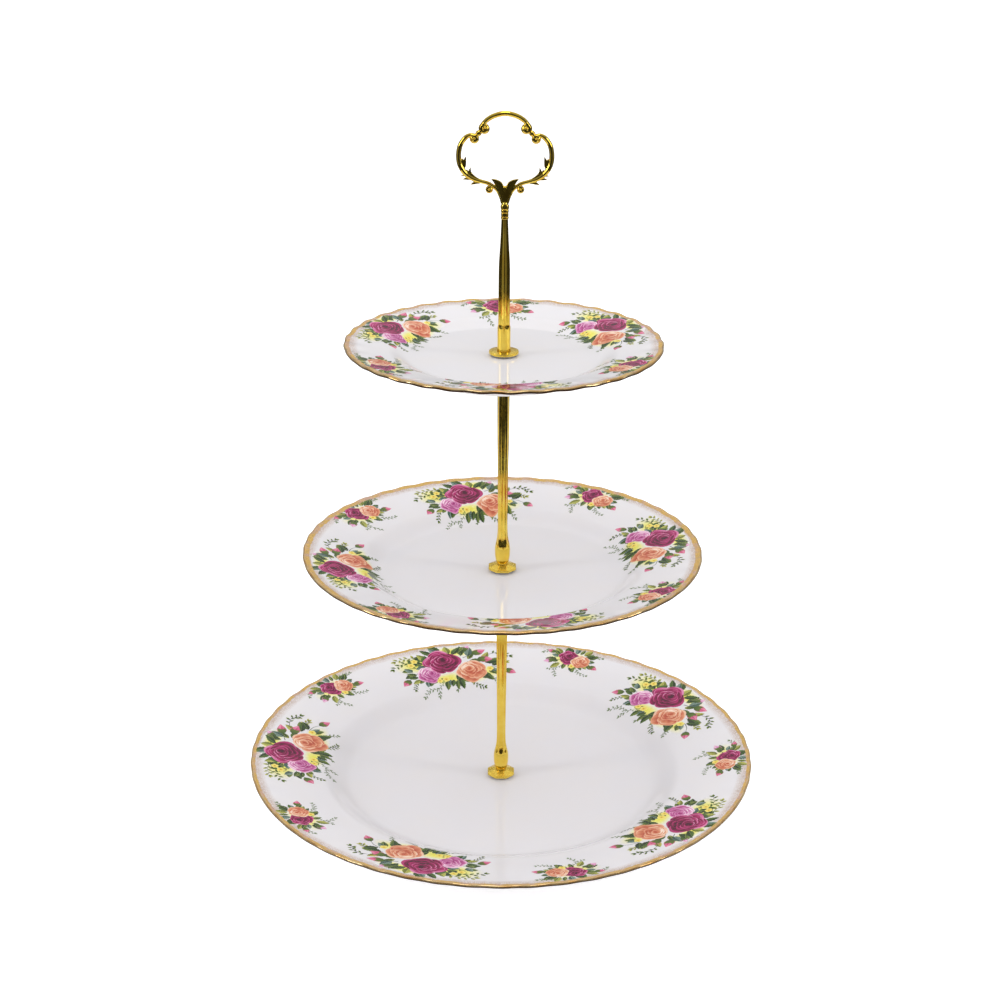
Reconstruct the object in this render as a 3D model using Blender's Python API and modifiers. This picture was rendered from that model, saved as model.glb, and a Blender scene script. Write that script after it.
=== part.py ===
"""A three-tier cake stand: porcelain plates held on a gilt centre handle that screws together in sections.

Units are metres and +Z is up. The origin is on the handle's axis, on the surface that the stand rests on.
Run it with: blender --background --python part.py
"""

import math

import bmesh
import bpy
from mathutils import Matrix, Vector

# ---------------------------------------------------------------- driving dimensions
GAP = 0.0003  # left between two pieces that touch

LARGE = {"radius": 0.1350, "depth": 0.0157, "thickness": 0.0042, "foot": 0.0048, "steps": 64}
MIDDLE = {"radius": 0.1035, "depth": 0.0130, "thickness": 0.0038, "foot": 0.0040, "steps": 56}
SMALL = {"radius": 0.0798, "depth": 0.0073, "thickness": 0.0034, "foot": 0.0032, "steps": 48}
# A plate's upper surface: share of its radius, share of its depth above the well.
PLATE_CURVE = (
    (0.600, 0.00),
    (0.645, 0.07),
    (0.690, 0.28),
    (0.735, 0.47),
    (0.800, 0.61),
    (0.900, 0.82),
)
RIM_THICKNESS = 0.0016
RIM_ROUND = 0.0008  # how far the edge's rounding runs in from the edge
FOOT_RADIUS_SHARE = 0.58
FOOT_WIDTH = 0.0035
HOLE_RADIUS = 0.0025

STUD_RADIUS = 0.0017  # an M4 thread's core, plain here
THREAD_BORE_RADIUS = 0.0020
THREAD_PITCH = 0.0007
ENGAGED_TURNS = 11.25
ENGAGED = ENGAGED_TURNS * THREAD_PITCH  # stud length inside a thread
BORE_CLEARANCE = 0.0006  # past the stud's tip
STUD_HOLD = 0.0095  # stud length inside the section that carries it

LOWER_ROD_LENGTH = 0.1131
UPPER_ROD_LENGTH = 0.1090
STEM_LENGTH = 0.0666
COLLAR_HEIGHT = 0.0071
# A rod's outside, from its foot up: height above the foot, radius. The rest runs straight to the top.
ROD_OUTLINE = (
    (0.0000, 0.00285),
    (0.0007, 0.00290),
    (0.0012, 0.00340),
    (0.0050, 0.00370),
    (0.0092, 0.00395),
    (0.0105, 0.00390),
    (0.0150, 0.00300),
    (0.0210, 0.00252),
    (0.0350, 0.00255),
    (0.0560, 0.00278),
    (0.0730, 0.00303),
    (0.0900, 0.00310),
)
STEM_OUTLINE = (
    (0.0000, 0.00360),
    (0.0010, 0.00330),
    (0.0130, 0.00330),
    (0.0260, 0.00325),
    (0.0350, 0.00325),
    (0.0440, 0.00312),
    (0.0560, 0.00235),
    (0.0666, 0.00188),
)
COLLAR_BEADS = (0.00190, 0.00195, 0.00200, 0.00210)  # bead radii, from the foot up
COLLAR_GROOVE_RADIUS = 0.00165

FLANGE_RADIUS = 0.00775
FLANGE_EDGE = 0.0013
FLANGE_HEIGHT = 0.0026
FLANGE_TOP_RADIUS = 0.0036
HANDLE_FLANGE_RADIUS = 0.0075
PASSING_RADIUS = 0.0021  # holes that a stud passes through

SOFT_WASHER = {"radius": 0.0065, "thickness": 0.0005}
BASE_RUBBER = {"radius": 0.0090, "thickness": 0.0008}
BASE_CUP = {"radius": 0.0090, "thickness": 0.0006}
SCREW_HEAD_RADIUS = 0.0055
SCREW_HEAD_HEIGHT = 0.0015

PIN_RADIUS = 0.0008
PIN_BORE_RADIUS = 0.0011
PIN_HOLD = 0.0034  # pin length in the ring's foot, and in the stem

# The ring stands in the XZ plane. Its points are (x, height above its foot), for the +X side.
RING_FOOT_RADIUS = 0.0020
RING_FOOT_HEIGHT = 0.0040
RING_TUBE_RADIUS = 0.00113
TOP_ARC = ((0.0000, 0.0440), (0.0057, 0.0427), (0.0093, 0.0406), (0.0120, 0.0376))
SIDE_ARC = (
    (0.0140, 0.0339),
    (0.0164, 0.0344),
    (0.0196, 0.0324),
    (0.0223, 0.0285),
    (0.0230, 0.0241),
    (0.0227, 0.0202),
    (0.0212, 0.0167),
    (0.0195, 0.0147),
    (0.0160, 0.0123),
    (0.0117, 0.0110),
    (0.0074, 0.0097),
    (0.0040, 0.0074),
)
SCROLL_BALLS = (  # centre, radius
    ((0.0104, 0.0364), 0.0029),
    ((0.0152, 0.0316), 0.0026),
    ((0.0129, 0.0343), 0.0014),
    ((0.0075, 0.0069), 0.00205),
)
LEAVES = (  # root, tip
    ((0.0210, 0.0165), (0.0195, 0.0231)),
    ((0.0135, 0.0116), (0.0170, 0.0175)),
    ((0.0170, 0.0135), (0.0201, 0.0122)),
    ((0.0120, 0.0112), (0.0164, 0.0098)),
)
LEAF_RADIUS = 0.0010
CROWN_OUTLINE = (
    (0.0000, 0.0090),
    (0.0063, 0.0117),
    (0.0048, 0.0083),
    (0.0027, 0.0040),
    (0.0018, 0.0004),
)
CROWN_THICKNESS = 0.0024

ROUND_STEPS = 24
SMALL_STEPS = 16
SMOOTH_ANGLE = math.radians(35)
MERGE = 0.00001

# ---------------------------------------------------------------- heights, from the table up
STACKED_WASHER = SOFT_WASHER["thickness"] + 2 * GAP
LARGE_UNDERSIDE = LARGE["foot"]
LARGE_WELL = LARGE_UNDERSIDE + LARGE["thickness"]
LOWER_FLANGE_Z = LARGE_WELL + STACKED_WASHER
LOWER_ROD_Z = LOWER_FLANGE_Z + FLANGE_HEIGHT + GAP
LOWER_ROD_TOP = LOWER_ROD_Z + LOWER_ROD_LENGTH
MIDDLE_UNDERSIDE = LOWER_ROD_TOP + STACKED_WASHER
MIDDLE_WELL = MIDDLE_UNDERSIDE + MIDDLE["thickness"]
UPPER_FLANGE_Z = MIDDLE_WELL + STACKED_WASHER
UPPER_ROD_Z = UPPER_FLANGE_Z + FLANGE_HEIGHT + GAP
UPPER_ROD_TOP = UPPER_ROD_Z + UPPER_ROD_LENGTH
SMALL_UNDERSIDE = UPPER_ROD_TOP + STACKED_WASHER
SMALL_WELL = SMALL_UNDERSIDE + SMALL["thickness"]
HANDLE_FLANGE_Z = SMALL_WELL + STACKED_WASHER
STEM_Z = HANDLE_FLANGE_Z + FLANGE_EDGE + GAP
STEM_TOP = STEM_Z + STEM_LENGTH
COLLAR_Z = STEM_TOP + GAP
RING_Z = COLLAR_Z + COLLAR_HEIGHT + GAP

# ---------------------------------------------------------------- finishes: colour, roughness, metallic
FINISHES = {
    "porcelain": ((0.86, 0.85, 0.86, 1.0), 0.06, 0.0),
    "gilt": ((0.90, 0.68, 0.16, 1.0), 0.12, 1.0),
    "steel": ((0.62, 0.62, 0.64, 1.0), 0.30, 1.0),
    "rubber": ((0.04, 0.04, 0.04, 1.0), 0.70, 0.0),
    "clear_plastic": ((0.85, 0.87, 0.88, 1.0), 0.25, 0.0),
}


def clear_scene():
    """Removes whatever the scene starts with."""
    for leftover in list(bpy.data.objects):
        bpy.data.objects.remove(leftover, do_unlink=True)


def new_collection(name):
    collection = bpy.data.collections.new(name)
    bpy.context.scene.collection.children.link(collection)
    return collection


def add_object(name, data, collection, height=0.0):
    """Puts mesh or curve data in a collection, with its origin on the handle's axis."""
    piece = bpy.data.objects.new(name, data)
    piece.location.z = height
    collection.objects.link(piece)
    return piece


def give_finish(piece, finish):
    """A material of the piece's own, with the finish's colour, roughness and metallic value."""
    colour, roughness, metallic = FINISHES[finish]
    material = bpy.data.materials.new(piece.name)
    material.use_nodes = True
    shader = material.node_tree.nodes["Principled BSDF"]
    shader.inputs["Base Color"].default_value = colour
    shader.inputs["Roughness"].default_value = roughness
    shader.inputs["Metallic"].default_value = metallic
    material.diffuse_color = colour
    piece.data.materials.clear()
    piece.data.materials.append(material)


def settle(piece):
    """Applies a piece's modifiers, or turns its curve into a mesh, and smooths its round faces."""
    bpy.context.view_layer.update()
    evaluated = piece.evaluated_get(bpy.context.evaluated_depsgraph_get())
    mesh = bpy.data.meshes.new_from_object(evaluated)
    welded = bmesh.new()
    welded.from_mesh(mesh)
    bmesh.ops.remove_doubles(welded, verts=welded.verts, dist=MERGE)
    welded.to_mesh(mesh)
    welded.free()
    mesh.shade_smooth()
    mesh.set_sharp_from_angle(angle=SMOOTH_ANGLE)
    settled = bpy.data.objects.new(piece.name, mesh)
    settled.matrix_world = piece.matrix_world
    for collection in piece.users_collection:
        collection.objects.link(settled)
    name = piece.name
    bpy.data.objects.remove(piece, do_unlink=True)
    settled.name = name
    return settled


def turned(name, profile, height, steps, closed):
    """Turns a profile of (radius, height) about Z. The profile runs down the piece's outer side."""
    mesh = bpy.data.meshes.new(name)
    points = [(radius, 0.0, z) for radius, z in profile]
    edges = [(index, index + 1) for index in range(len(points) - 1)]
    if closed:
        edges.append((len(points) - 1, 0))
    mesh.from_pydata(points, edges, [])
    piece = add_object(name, mesh, PARTS, height)
    screw = piece.modifiers.new("turn", "SCREW")
    screw.axis = "Z"
    screw.steps = steps
    screw.render_steps = steps
    screw.use_merge_vertices = True
    screw.merge_threshold = MERGE
    return settle(piece)


def ring_profile(inner, outer, thickness):
    """The section of a flat washer that stands on height zero."""
    return [(inner, thickness), (outer, thickness), (outer, 0.0), (inner, 0.0)]


def washer(name, size, height, hole, finish, steps=ROUND_STEPS):
    piece = turned(name, ring_profile(hole, size["radius"], size["thickness"]), height, steps, True)
    give_finish(piece, finish)


# ---------------------------------------------------------------- plates
def plate_profile(plate):
    """A plate's section, with height zero at the well's underside: over the top, then back underneath."""
    radius, depth, thickness = plate["radius"], plate["depth"], plate["thickness"]
    rim_top = thickness + depth
    upper = [(HOLE_RADIUS, thickness)]
    upper += [(share * radius, thickness + rise * depth) for share, rise in PLATE_CURVE]
    edge = [
        (radius - RIM_ROUND, rim_top),
        (radius, rim_top - RIM_THICKNESS / 2),
        (radius - RIM_ROUND, rim_top - RIM_THICKNESS),
    ]
    under = []
    for share, rise in reversed(PLATE_CURVE):
        inward = (1.0 - share) / (1.0 - PLATE_CURVE[0][0])
        wall = RIM_THICKNESS + inward * (thickness - RIM_THICKNESS)
        under.append((share * radius, thickness + rise * depth - wall))
    foot_outer = FOOT_RADIUS_SHARE * radius
    foot_inner = foot_outer - FOOT_WIDTH
    foot = [
        (foot_outer, 0.0),
        (foot_outer, -plate["foot"]),
        (foot_inner, -plate["foot"]),
        (foot_inner, 0.0),
        (HOLE_RADIUS, 0.0),
    ]
    return upper + edge + under + foot


def make_plate(name, plate, underside):
    piece = turned(name, plate_profile(plate), underside, plate["steps"], True)
    give_finish(piece, "porcelain")


# ---------------------------------------------------------------- rods, stem and their studs
def section_profile(outline, length, foot_bore, foot_bore_depth, top_bore, top_bore_depth):
    """A turned section with a blind bore in each end, from the top bore's floor round to the foot bore's."""
    outside = [(radius, height) for height, radius in outline if height < length]
    outside.append((outline[-1][1], length))
    outside.reverse()
    top = [(0.0, length - top_bore_depth), (top_bore, length - top_bore_depth), (top_bore, length)]
    foot = [(foot_bore, 0.0), (foot_bore, foot_bore_depth), (0.0, foot_bore_depth)]
    return top + outside + foot


def make_rod(name, foot, length, foot_bore_depth):
    top_bore_depth = ENGAGED + BORE_CLEARANCE
    profile = section_profile(
        ROD_OUTLINE, length, THREAD_BORE_RADIUS, foot_bore_depth, THREAD_BORE_RADIUS, top_bore_depth
    )
    give_finish(turned(name, profile, foot, ROUND_STEPS, False), "gilt")


def make_stud(name, tip, top):
    profile = [(0.0, top - tip), (STUD_RADIUS, top - tip), (STUD_RADIUS, 0.0), (0.0, 0.0)]
    give_finish(turned(name, profile, tip, SMALL_STEPS, False), "steel")


def make_stem():
    foot_bore_depth = STUD_HOLD + BORE_CLEARANCE
    profile = section_profile(
        STEM_OUTLINE, STEM_LENGTH, THREAD_BORE_RADIUS, foot_bore_depth, PIN_BORE_RADIUS, PIN_HOLD + GAP
    )
    give_finish(turned("handle_stem", profile, STEM_Z, ROUND_STEPS, False), "gilt")


def make_collar():
    """A stack of beads, each an arc that bulges from one groove to the next."""
    pitch = COLLAR_HEIGHT / len(COLLAR_BEADS)
    outside = [(COLLAR_GROOVE_RADIUS, 0.0)]
    for index, bead in enumerate(COLLAR_BEADS):
        foot = index * pitch
        for share in (0.25, 0.5, 0.75):
            bulge = (bead - COLLAR_GROOVE_RADIUS) * math.sin(share * math.pi)
            outside.append((COLLAR_GROOVE_RADIUS + bulge, foot + share * pitch))
        outside.append((COLLAR_GROOVE_RADIUS, foot + pitch))
    outside.reverse()
    profile = [(PIN_BORE_RADIUS, COLLAR_HEIGHT)] + outside + [(PIN_BORE_RADIUS, 0.0)]
    give_finish(turned("handle_collar", profile, COLLAR_Z, SMALL_STEPS, True), "gilt")


def make_ring_pin():
    foot = STEM_TOP - PIN_HOLD
    length = RING_Z + PIN_HOLD - foot
    profile = [(0.0, length), (PIN_RADIUS, length), (PIN_RADIUS, 0.0), (0.0, 0.0)]
    give_finish(turned("handle_ring_pin", profile, foot, SMALL_STEPS, False), "steel")


def make_base_screw():
    """A low-headed screw, up through the large plate into the lower rod."""
    head_top = LARGE_UNDERSIDE - BASE_RUBBER["thickness"] - BASE_CUP["thickness"] - 3 * GAP
    head_foot = head_top - SCREW_HEAD_HEIGHT
    tip = LOWER_ROD_Z + ENGAGED - head_foot
    profile = [
        (0.0, tip),
        (STUD_RADIUS, tip),
        (STUD_RADIUS, SCREW_HEAD_HEIGHT),
        (SCREW_HEAD_RADIUS, SCREW_HEAD_HEIGHT),
        (SCREW_HEAD_RADIUS, 0.6 * SCREW_HEAD_HEIGHT),
        (0.7 * SCREW_HEAD_RADIUS, 0.0),
        (0.0, 0.0),
    ]
    give_finish(turned("base_screw", profile, head_foot, SMALL_STEPS, False), "steel")


# ---------------------------------------------------------------- flanges
def make_octagonal_flange(name, height):
    """An eight-sided plate with a sloping top and a round hole for the stud."""
    shape = bmesh.new()
    edge = Matrix.Translation((0.0, 0.0, FLANGE_EDGE / 2))
    bmesh.ops.create_cone(
        shape,
        cap_ends=True,
        segments=8,
        radius1=FLANGE_RADIUS,
        radius2=FLANGE_RADIUS,
        depth=FLANGE_EDGE,
        matrix=edge,
    )
    top = max(shape.faces, key=lambda face: face.calc_center_median().z)
    raised = bmesh.ops.extrude_discrete_faces(shape, faces=[top])["faces"][0]
    share = FLANGE_TOP_RADIUS / FLANGE_RADIUS
    for corner in raised.verts:
        corner.co = Vector((corner.co.x * share, corner.co.y * share, FLANGE_HEIGHT))
    mesh = bpy.data.meshes.new(name)
    shape.to_mesh(mesh)
    shape.free()
    piece = add_object(name, mesh, PARTS, height)
    cut_hole(piece, PASSING_RADIUS, FLANGE_HEIGHT)
    give_finish(settle(piece), "gilt")


def cut_hole(piece, radius, depth, floor=0.0):
    """Bores the piece along Z, from `floor` up by `depth` in the piece's own heights, open at both faces."""
    overrun = depth
    shape = bmesh.new()
    middle = Matrix.Translation((0.0, 0.0, floor + depth / 2))
    bmesh.ops.create_cone(
        shape,
        cap_ends=True,
        segments=ROUND_STEPS,
        radius1=radius,
        radius2=radius,
        depth=depth + overrun,
        matrix=middle,
    )
    mesh = bpy.data.meshes.new(f"{piece.name}_bore")
    shape.to_mesh(mesh)
    shape.free()
    cutter = add_object(f"{piece.name}_bore", mesh, CUTTERS, piece.location.z)
    cutter.hide_render = True
    cutter.display_type = "WIRE"
    boolean = piece.modifiers.new("bore", "BOOLEAN")
    boolean.operation = "DIFFERENCE"
    boolean.object = cutter


def make_handle_flange():
    profile = ring_profile(PASSING_RADIUS, HANDLE_FLANGE_RADIUS, FLANGE_EDGE)
    give_finish(turned("handle_flange", profile, HANDLE_FLANGE_Z, ROUND_STEPS, True), "gilt")


# ---------------------------------------------------------------- the openwork ring
def tube(name, points):
    """A round bar through (x, z) points, as a welded mesh."""
    curve = bpy.data.curves.new(name, "CURVE")
    curve.dimensions = "3D"
    curve.bevel_depth = RING_TUBE_RADIUS
    curve.bevel_resolution = 1
    curve.resolution_u = 2
    curve.use_fill_caps = True
    spline = curve.splines.new("BEZIER")
    spline.bezier_points.add(len(points) - 1)
    for knot, (x, z) in zip(spline.bezier_points, points):
        knot.co = (x, 0.0, z)
        knot.handle_left_type = "AUTO"
        knot.handle_right_type = "AUTO"
    return settle(add_object(name, curve, RING_BITS, RING_Z))


def ball(name, centre, radius):
    shape = bmesh.new()
    place = Matrix.Translation((centre[0], 0.0, centre[1]))
    bmesh.ops.create_uvsphere(shape, u_segments=12, v_segments=8, radius=radius, matrix=place)
    mesh = bpy.data.meshes.new(name)
    shape.to_mesh(mesh)
    shape.free()
    return add_object(name, mesh, RING_BITS, RING_Z)


def leaf(name, root, tip):
    """A pointed leaf: a slender cone from its root in the bar to its tip."""
    start = Vector((root[0], 0.0, root[1]))
    along = Vector((tip[0], 0.0, tip[1])) - start
    turn = Vector((0.0, 0.0, 1.0)).rotation_difference(along).to_matrix().to_4x4()
    shape = bmesh.new()
    bmesh.ops.create_cone(
        shape,
        cap_ends=True,
        segments=8,
        radius1=LEAF_RADIUS,
        radius2=LEAF_RADIUS / 4,
        depth=along.length,
        matrix=Matrix.Translation(start + along / 2) @ turn,
    )
    mesh = bpy.data.meshes.new(name)
    shape.to_mesh(mesh)
    shape.free()
    return add_object(name, mesh, RING_BITS, RING_Z)


def crown():
    """The two flat leaves that rise from the ring's foot, as one outline."""
    curve = bpy.data.curves.new("crown", "CURVE")
    curve.dimensions = "2D"
    curve.fill_mode = "BOTH"
    curve.extrude = CROWN_THICKNESS / 2
    outline = list(CROWN_OUTLINE)
    outline += [(-x, z) for x, z in reversed(CROWN_OUTLINE[1:])]
    spline = curve.splines.new("POLY")
    spline.points.add(len(outline) - 1)
    for point, (x, z) in zip(spline.points, outline):
        point.co = (x, z, 0.0, 1.0)
    spline.use_cyclic_u = True
    piece = add_object("crown", curve, RING_BITS, RING_Z)
    piece.rotation_euler.x = math.pi / 2
    return settle(piece)


def ring_foot():
    """The round foot that stands on the collar, where the ring's own object starts."""
    shape = bmesh.new()
    bmesh.ops.create_cone(
        shape,
        cap_ends=True,
        segments=SMALL_STEPS,
        radius1=RING_FOOT_RADIUS,
        radius2=RING_FOOT_RADIUS,
        depth=RING_FOOT_HEIGHT,
        matrix=Matrix.Translation((0.0, 0.0, RING_FOOT_HEIGHT / 2)),
    )
    mesh = bpy.data.meshes.new("handle_ring")
    shape.to_mesh(mesh)
    shape.free()
    return add_object("handle_ring", mesh, PARTS, RING_Z)


def make_ring():
    """Joins the foot, crown, bars, scroll balls and leaves into one openwork casting, bored for its pin."""
    crown()
    mirrored = [(-x, z) for x, z in reversed(TOP_ARC[1:])]
    tube("top_arc", mirrored + list(TOP_ARC))
    for side_name, side in (("left", -1.0), ("right", 1.0)):
        tube(f"side_arc_{side_name}", [(side * x, z) for x, z in SIDE_ARC])
        for index, ((x, z), radius) in enumerate(SCROLL_BALLS):
            ball(f"scroll_{side_name}_{index}", (side * x, z), radius)
        for index, ((root_x, root_z), (tip_x, tip_z)) in enumerate(LEAVES):
            leaf(f"leaf_{side_name}_{index}", (side * root_x, root_z), (side * tip_x, tip_z))
    for bit in RING_BITS.objects:
        bit.hide_render = True
        bit.display_type = "WIRE"
    ring = ring_foot()
    union = ring.modifiers.new("join", "BOOLEAN")
    union.operation = "UNION"
    union.operand_type = "COLLECTION"
    union.collection = RING_BITS
    cut_hole(ring, PIN_BORE_RADIUS, PIN_HOLD, floor=-PIN_HOLD / 2)
    give_finish(settle(ring), "gilt")


# ---------------------------------------------------------------- the stand, from the table up
def build():
    make_base_screw()
    cup_z = LARGE_UNDERSIDE - BASE_RUBBER["thickness"] - BASE_CUP["thickness"] - 2 * GAP
    washer("base_cup_washer", BASE_CUP, cup_z, PASSING_RADIUS, "steel")
    rubber_z = LARGE_UNDERSIDE - BASE_RUBBER["thickness"] - GAP
    washer("base_rubber_washer", BASE_RUBBER, rubber_z, PASSING_RADIUS, "rubber")
    make_plate("large_plate", LARGE, LARGE_UNDERSIDE)
    washer("large_plate_top_washer", SOFT_WASHER, LARGE_WELL + GAP, PASSING_RADIUS, "clear_plastic")

    make_octagonal_flange("lower_flange", LOWER_FLANGE_Z)
    make_rod("lower_rod", LOWER_ROD_Z, LOWER_ROD_LENGTH, ENGAGED + BORE_CLEARANCE)
    washer("lower_rod_top_washer", SOFT_WASHER, LOWER_ROD_TOP + GAP, PASSING_RADIUS, "clear_plastic")
    make_plate("middle_plate", MIDDLE, MIDDLE_UNDERSIDE)
    washer("middle_plate_top_washer", SOFT_WASHER, MIDDLE_WELL + GAP, PASSING_RADIUS, "clear_plastic")

    make_octagonal_flange("upper_flange", UPPER_FLANGE_Z)
    make_rod("upper_rod", UPPER_ROD_Z, UPPER_ROD_LENGTH, STUD_HOLD + BORE_CLEARANCE)
    make_stud("upper_rod_stud", LOWER_ROD_TOP - ENGAGED, UPPER_ROD_Z + STUD_HOLD)
    washer("upper_rod_top_washer", SOFT_WASHER, UPPER_ROD_TOP + GAP, PASSING_RADIUS, "clear_plastic")
    make_plate("small_plate", SMALL, SMALL_UNDERSIDE)
    washer("small_plate_top_washer", SOFT_WASHER, SMALL_WELL + GAP, PASSING_RADIUS, "clear_plastic")

    make_handle_flange()
    make_stem()
    make_stud("handle_stud", UPPER_ROD_TOP - ENGAGED, STEM_Z + STUD_HOLD)
    make_collar()
    make_ring_pin()
    make_ring()


clear_scene()
PARTS = new_collection("cake_stand")
CUTTERS = new_collection("cutters")
RING_BITS = new_collection("ring_bits")
build()
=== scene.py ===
"""The looks of the three-tier cake stand: fluted porcelain, printed roses, gilding and the cast handle."""

import math
import random

import bmesh
import bpy
import numpy as np
from mathutils import Matrix, Vector
from mathutils.geometry import delaunay_2d_cdt


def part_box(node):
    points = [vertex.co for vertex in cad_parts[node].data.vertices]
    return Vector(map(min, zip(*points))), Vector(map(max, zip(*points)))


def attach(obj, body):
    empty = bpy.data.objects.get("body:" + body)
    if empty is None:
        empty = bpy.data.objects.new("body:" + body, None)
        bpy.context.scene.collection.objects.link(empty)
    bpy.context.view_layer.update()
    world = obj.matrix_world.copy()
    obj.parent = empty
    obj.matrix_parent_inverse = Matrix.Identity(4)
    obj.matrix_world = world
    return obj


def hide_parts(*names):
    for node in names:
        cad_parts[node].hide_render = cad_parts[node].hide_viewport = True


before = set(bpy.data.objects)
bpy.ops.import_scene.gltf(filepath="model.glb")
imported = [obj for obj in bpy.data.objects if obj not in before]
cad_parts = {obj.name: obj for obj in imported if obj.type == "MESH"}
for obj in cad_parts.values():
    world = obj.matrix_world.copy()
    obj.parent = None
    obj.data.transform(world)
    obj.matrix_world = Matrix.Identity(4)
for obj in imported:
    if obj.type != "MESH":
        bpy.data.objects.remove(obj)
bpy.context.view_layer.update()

MM = 0.001
TURN = 2 * math.pi
GAP = 0.3 * MM  # what the CAD leaves between two pieces that touch
SMOOTH_ANGLE = math.radians(40)


# ---------------------------------------------------------------- small helpers
def smoothstep(low, high, value):
    share = np.clip((value - low) / (high - low), 0.0, 1.0)
    return share * share * (3.0 - 2.0 * share)


def srgb(text):
    """A colour written as six hex digits, as linear red, green and blue."""
    channels = np.array([int(text[place : place + 2], 16) for place in (0, 2, 4)]) / 255.0
    return np.where(channels <= 0.04045, channels / 12.92, ((channels + 0.055) / 1.055) ** 2.4)


def polar(length, angle):
    return np.array((length * math.cos(angle), length * math.sin(angle)))


def smooth_path(points, steps):
    """A Catmull-Rom curve through the points, `steps` stretches between each two."""
    knots = np.array(points, float)
    knots = np.vstack([2 * knots[0] - knots[1], knots, 2 * knots[-1] - knots[-2]])
    path = []
    for before, start, end, after in zip(knots, knots[1:], knots[2:], knots[3:]):
        for share in np.linspace(0.0, 1.0, steps, endpoint=False):
            path.append(
                0.5
                * (
                    2 * start
                    + (end - before) * share
                    + (2 * before - 5 * start + 4 * end - after) * share**2
                    + (3 * start - before - 3 * end + after) * share**3
                )
            )
    path.append(knots[-2])
    return np.array(path)


def close_rows(path, spacing):
    """The same path with its points no further apart than `spacing`, along the first column."""
    rows = [path[0]]
    for start, end in zip(path, path[1:]):
        steps = max(1, math.ceil((end[0] - start[0]) / spacing))
        rows += [start + (end - start) * step / steps for step in range(1, steps + 1)]
    return np.array(rows)


def directions(path):
    """The direction of a path at each of its points, of length one."""
    along = np.gradient(path, axis=0)
    return along / np.linalg.norm(along, axis=1)[:, None]


def add_piece(name, mesh):
    piece = bpy.data.objects.new(name, mesh)
    bpy.context.scene.collection.objects.link(piece)
    return piece


def add_shape(name, shape):
    """A piece from a bmesh, which is used up."""
    mesh = bpy.data.meshes.new(name)
    shape.to_mesh(mesh)
    shape.free()
    return add_piece(name, mesh)


def baked(piece):
    """The piece with its modifiers applied."""
    bpy.context.view_layer.update()
    mesh = bpy.data.meshes.new_from_object(piece.evaluated_get(bpy.context.evaluated_depsgraph_get()))
    piece.modifiers.clear()
    piece.data = mesh
    return piece


def shade(mesh):
    mesh.shade_smooth()
    mesh.set_sharp_from_angle(angle=SMOOTH_ANGLE)


def skin_faces(rings, looped=False):
    """Points and faces that join rings of equally many points. A ring of one point closes an end."""
    starts = np.cumsum([0] + [len(ring) for ring in rings])
    pairs = [(index, index + 1) for index in range(len(rings) - 1)]
    if looped:
        pairs.append((len(rings) - 1, 0))
    faces = []
    for first, second in pairs:
        columns = max(len(rings[first]), len(rings[second]))
        for column in range(columns):
            following = (column + 1) % columns
            corners = []
            around = ((first, column), (first, following), (second, following), (second, column))
            for ring, place in around:
                corner = starts[ring] + (place if len(rings[ring]) > 1 else 0)
                if corner not in corners:
                    corners.append(int(corner))
            faces.append(corners)
    return np.vstack(rings), faces


def solid_mesh(name, points, faces):
    """A mesh of a closed surface, with its faces turned outwards."""
    mesh = bpy.data.meshes.new(name)
    mesh.from_pydata(points.tolist(), [], faces)
    shape = bmesh.new()
    shape.from_mesh(mesh)
    bmesh.ops.recalc_face_normals(shape, faces=shape.faces)
    shape.to_mesh(mesh)
    shape.free()
    shade(mesh)
    return mesh


def lathe(name, section, columns, form=None, formed=slice(None), looped=False):
    """Turns (radius, height) points about Z. form(radius, height, angle) bends the rows in `formed`."""
    angles = np.linspace(0.0, TURN, columns, endpoint=False)
    bent_rows = range(len(section))[formed] if form else ()
    rings = []
    for row, (radius, height) in enumerate(section):
        if radius == 0.0:
            rings.append(np.array([(0.0, 0.0, height)]))
            continue
        radii = np.full(columns, radius)
        heights = np.full(columns, height)
        if row in bent_rows:
            radii, heights = form(radii, heights, angles)
        rings.append(np.column_stack((radii * np.cos(angles), radii * np.sin(angles), heights)))
    return add_piece(name, solid_mesh(name, *skin_faces(rings, looped)))


def finish_piece(piece, body, slot, material, *nodes):
    """Gives a piece its material and its body, and hides the CAD nodes that it stands for. Its slot is not
    used.
    """
    piece.data.materials.clear()
    piece.data.materials.append(material)
    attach(piece, body)
    if nodes:
        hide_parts(*nodes)


# ---------------------------------------------------------------- materials
MIX_INPUTS = (0, 6, 7)  # a Mix node's sockets for colours: the factor, A and B
MIX_RESULT = 2


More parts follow.
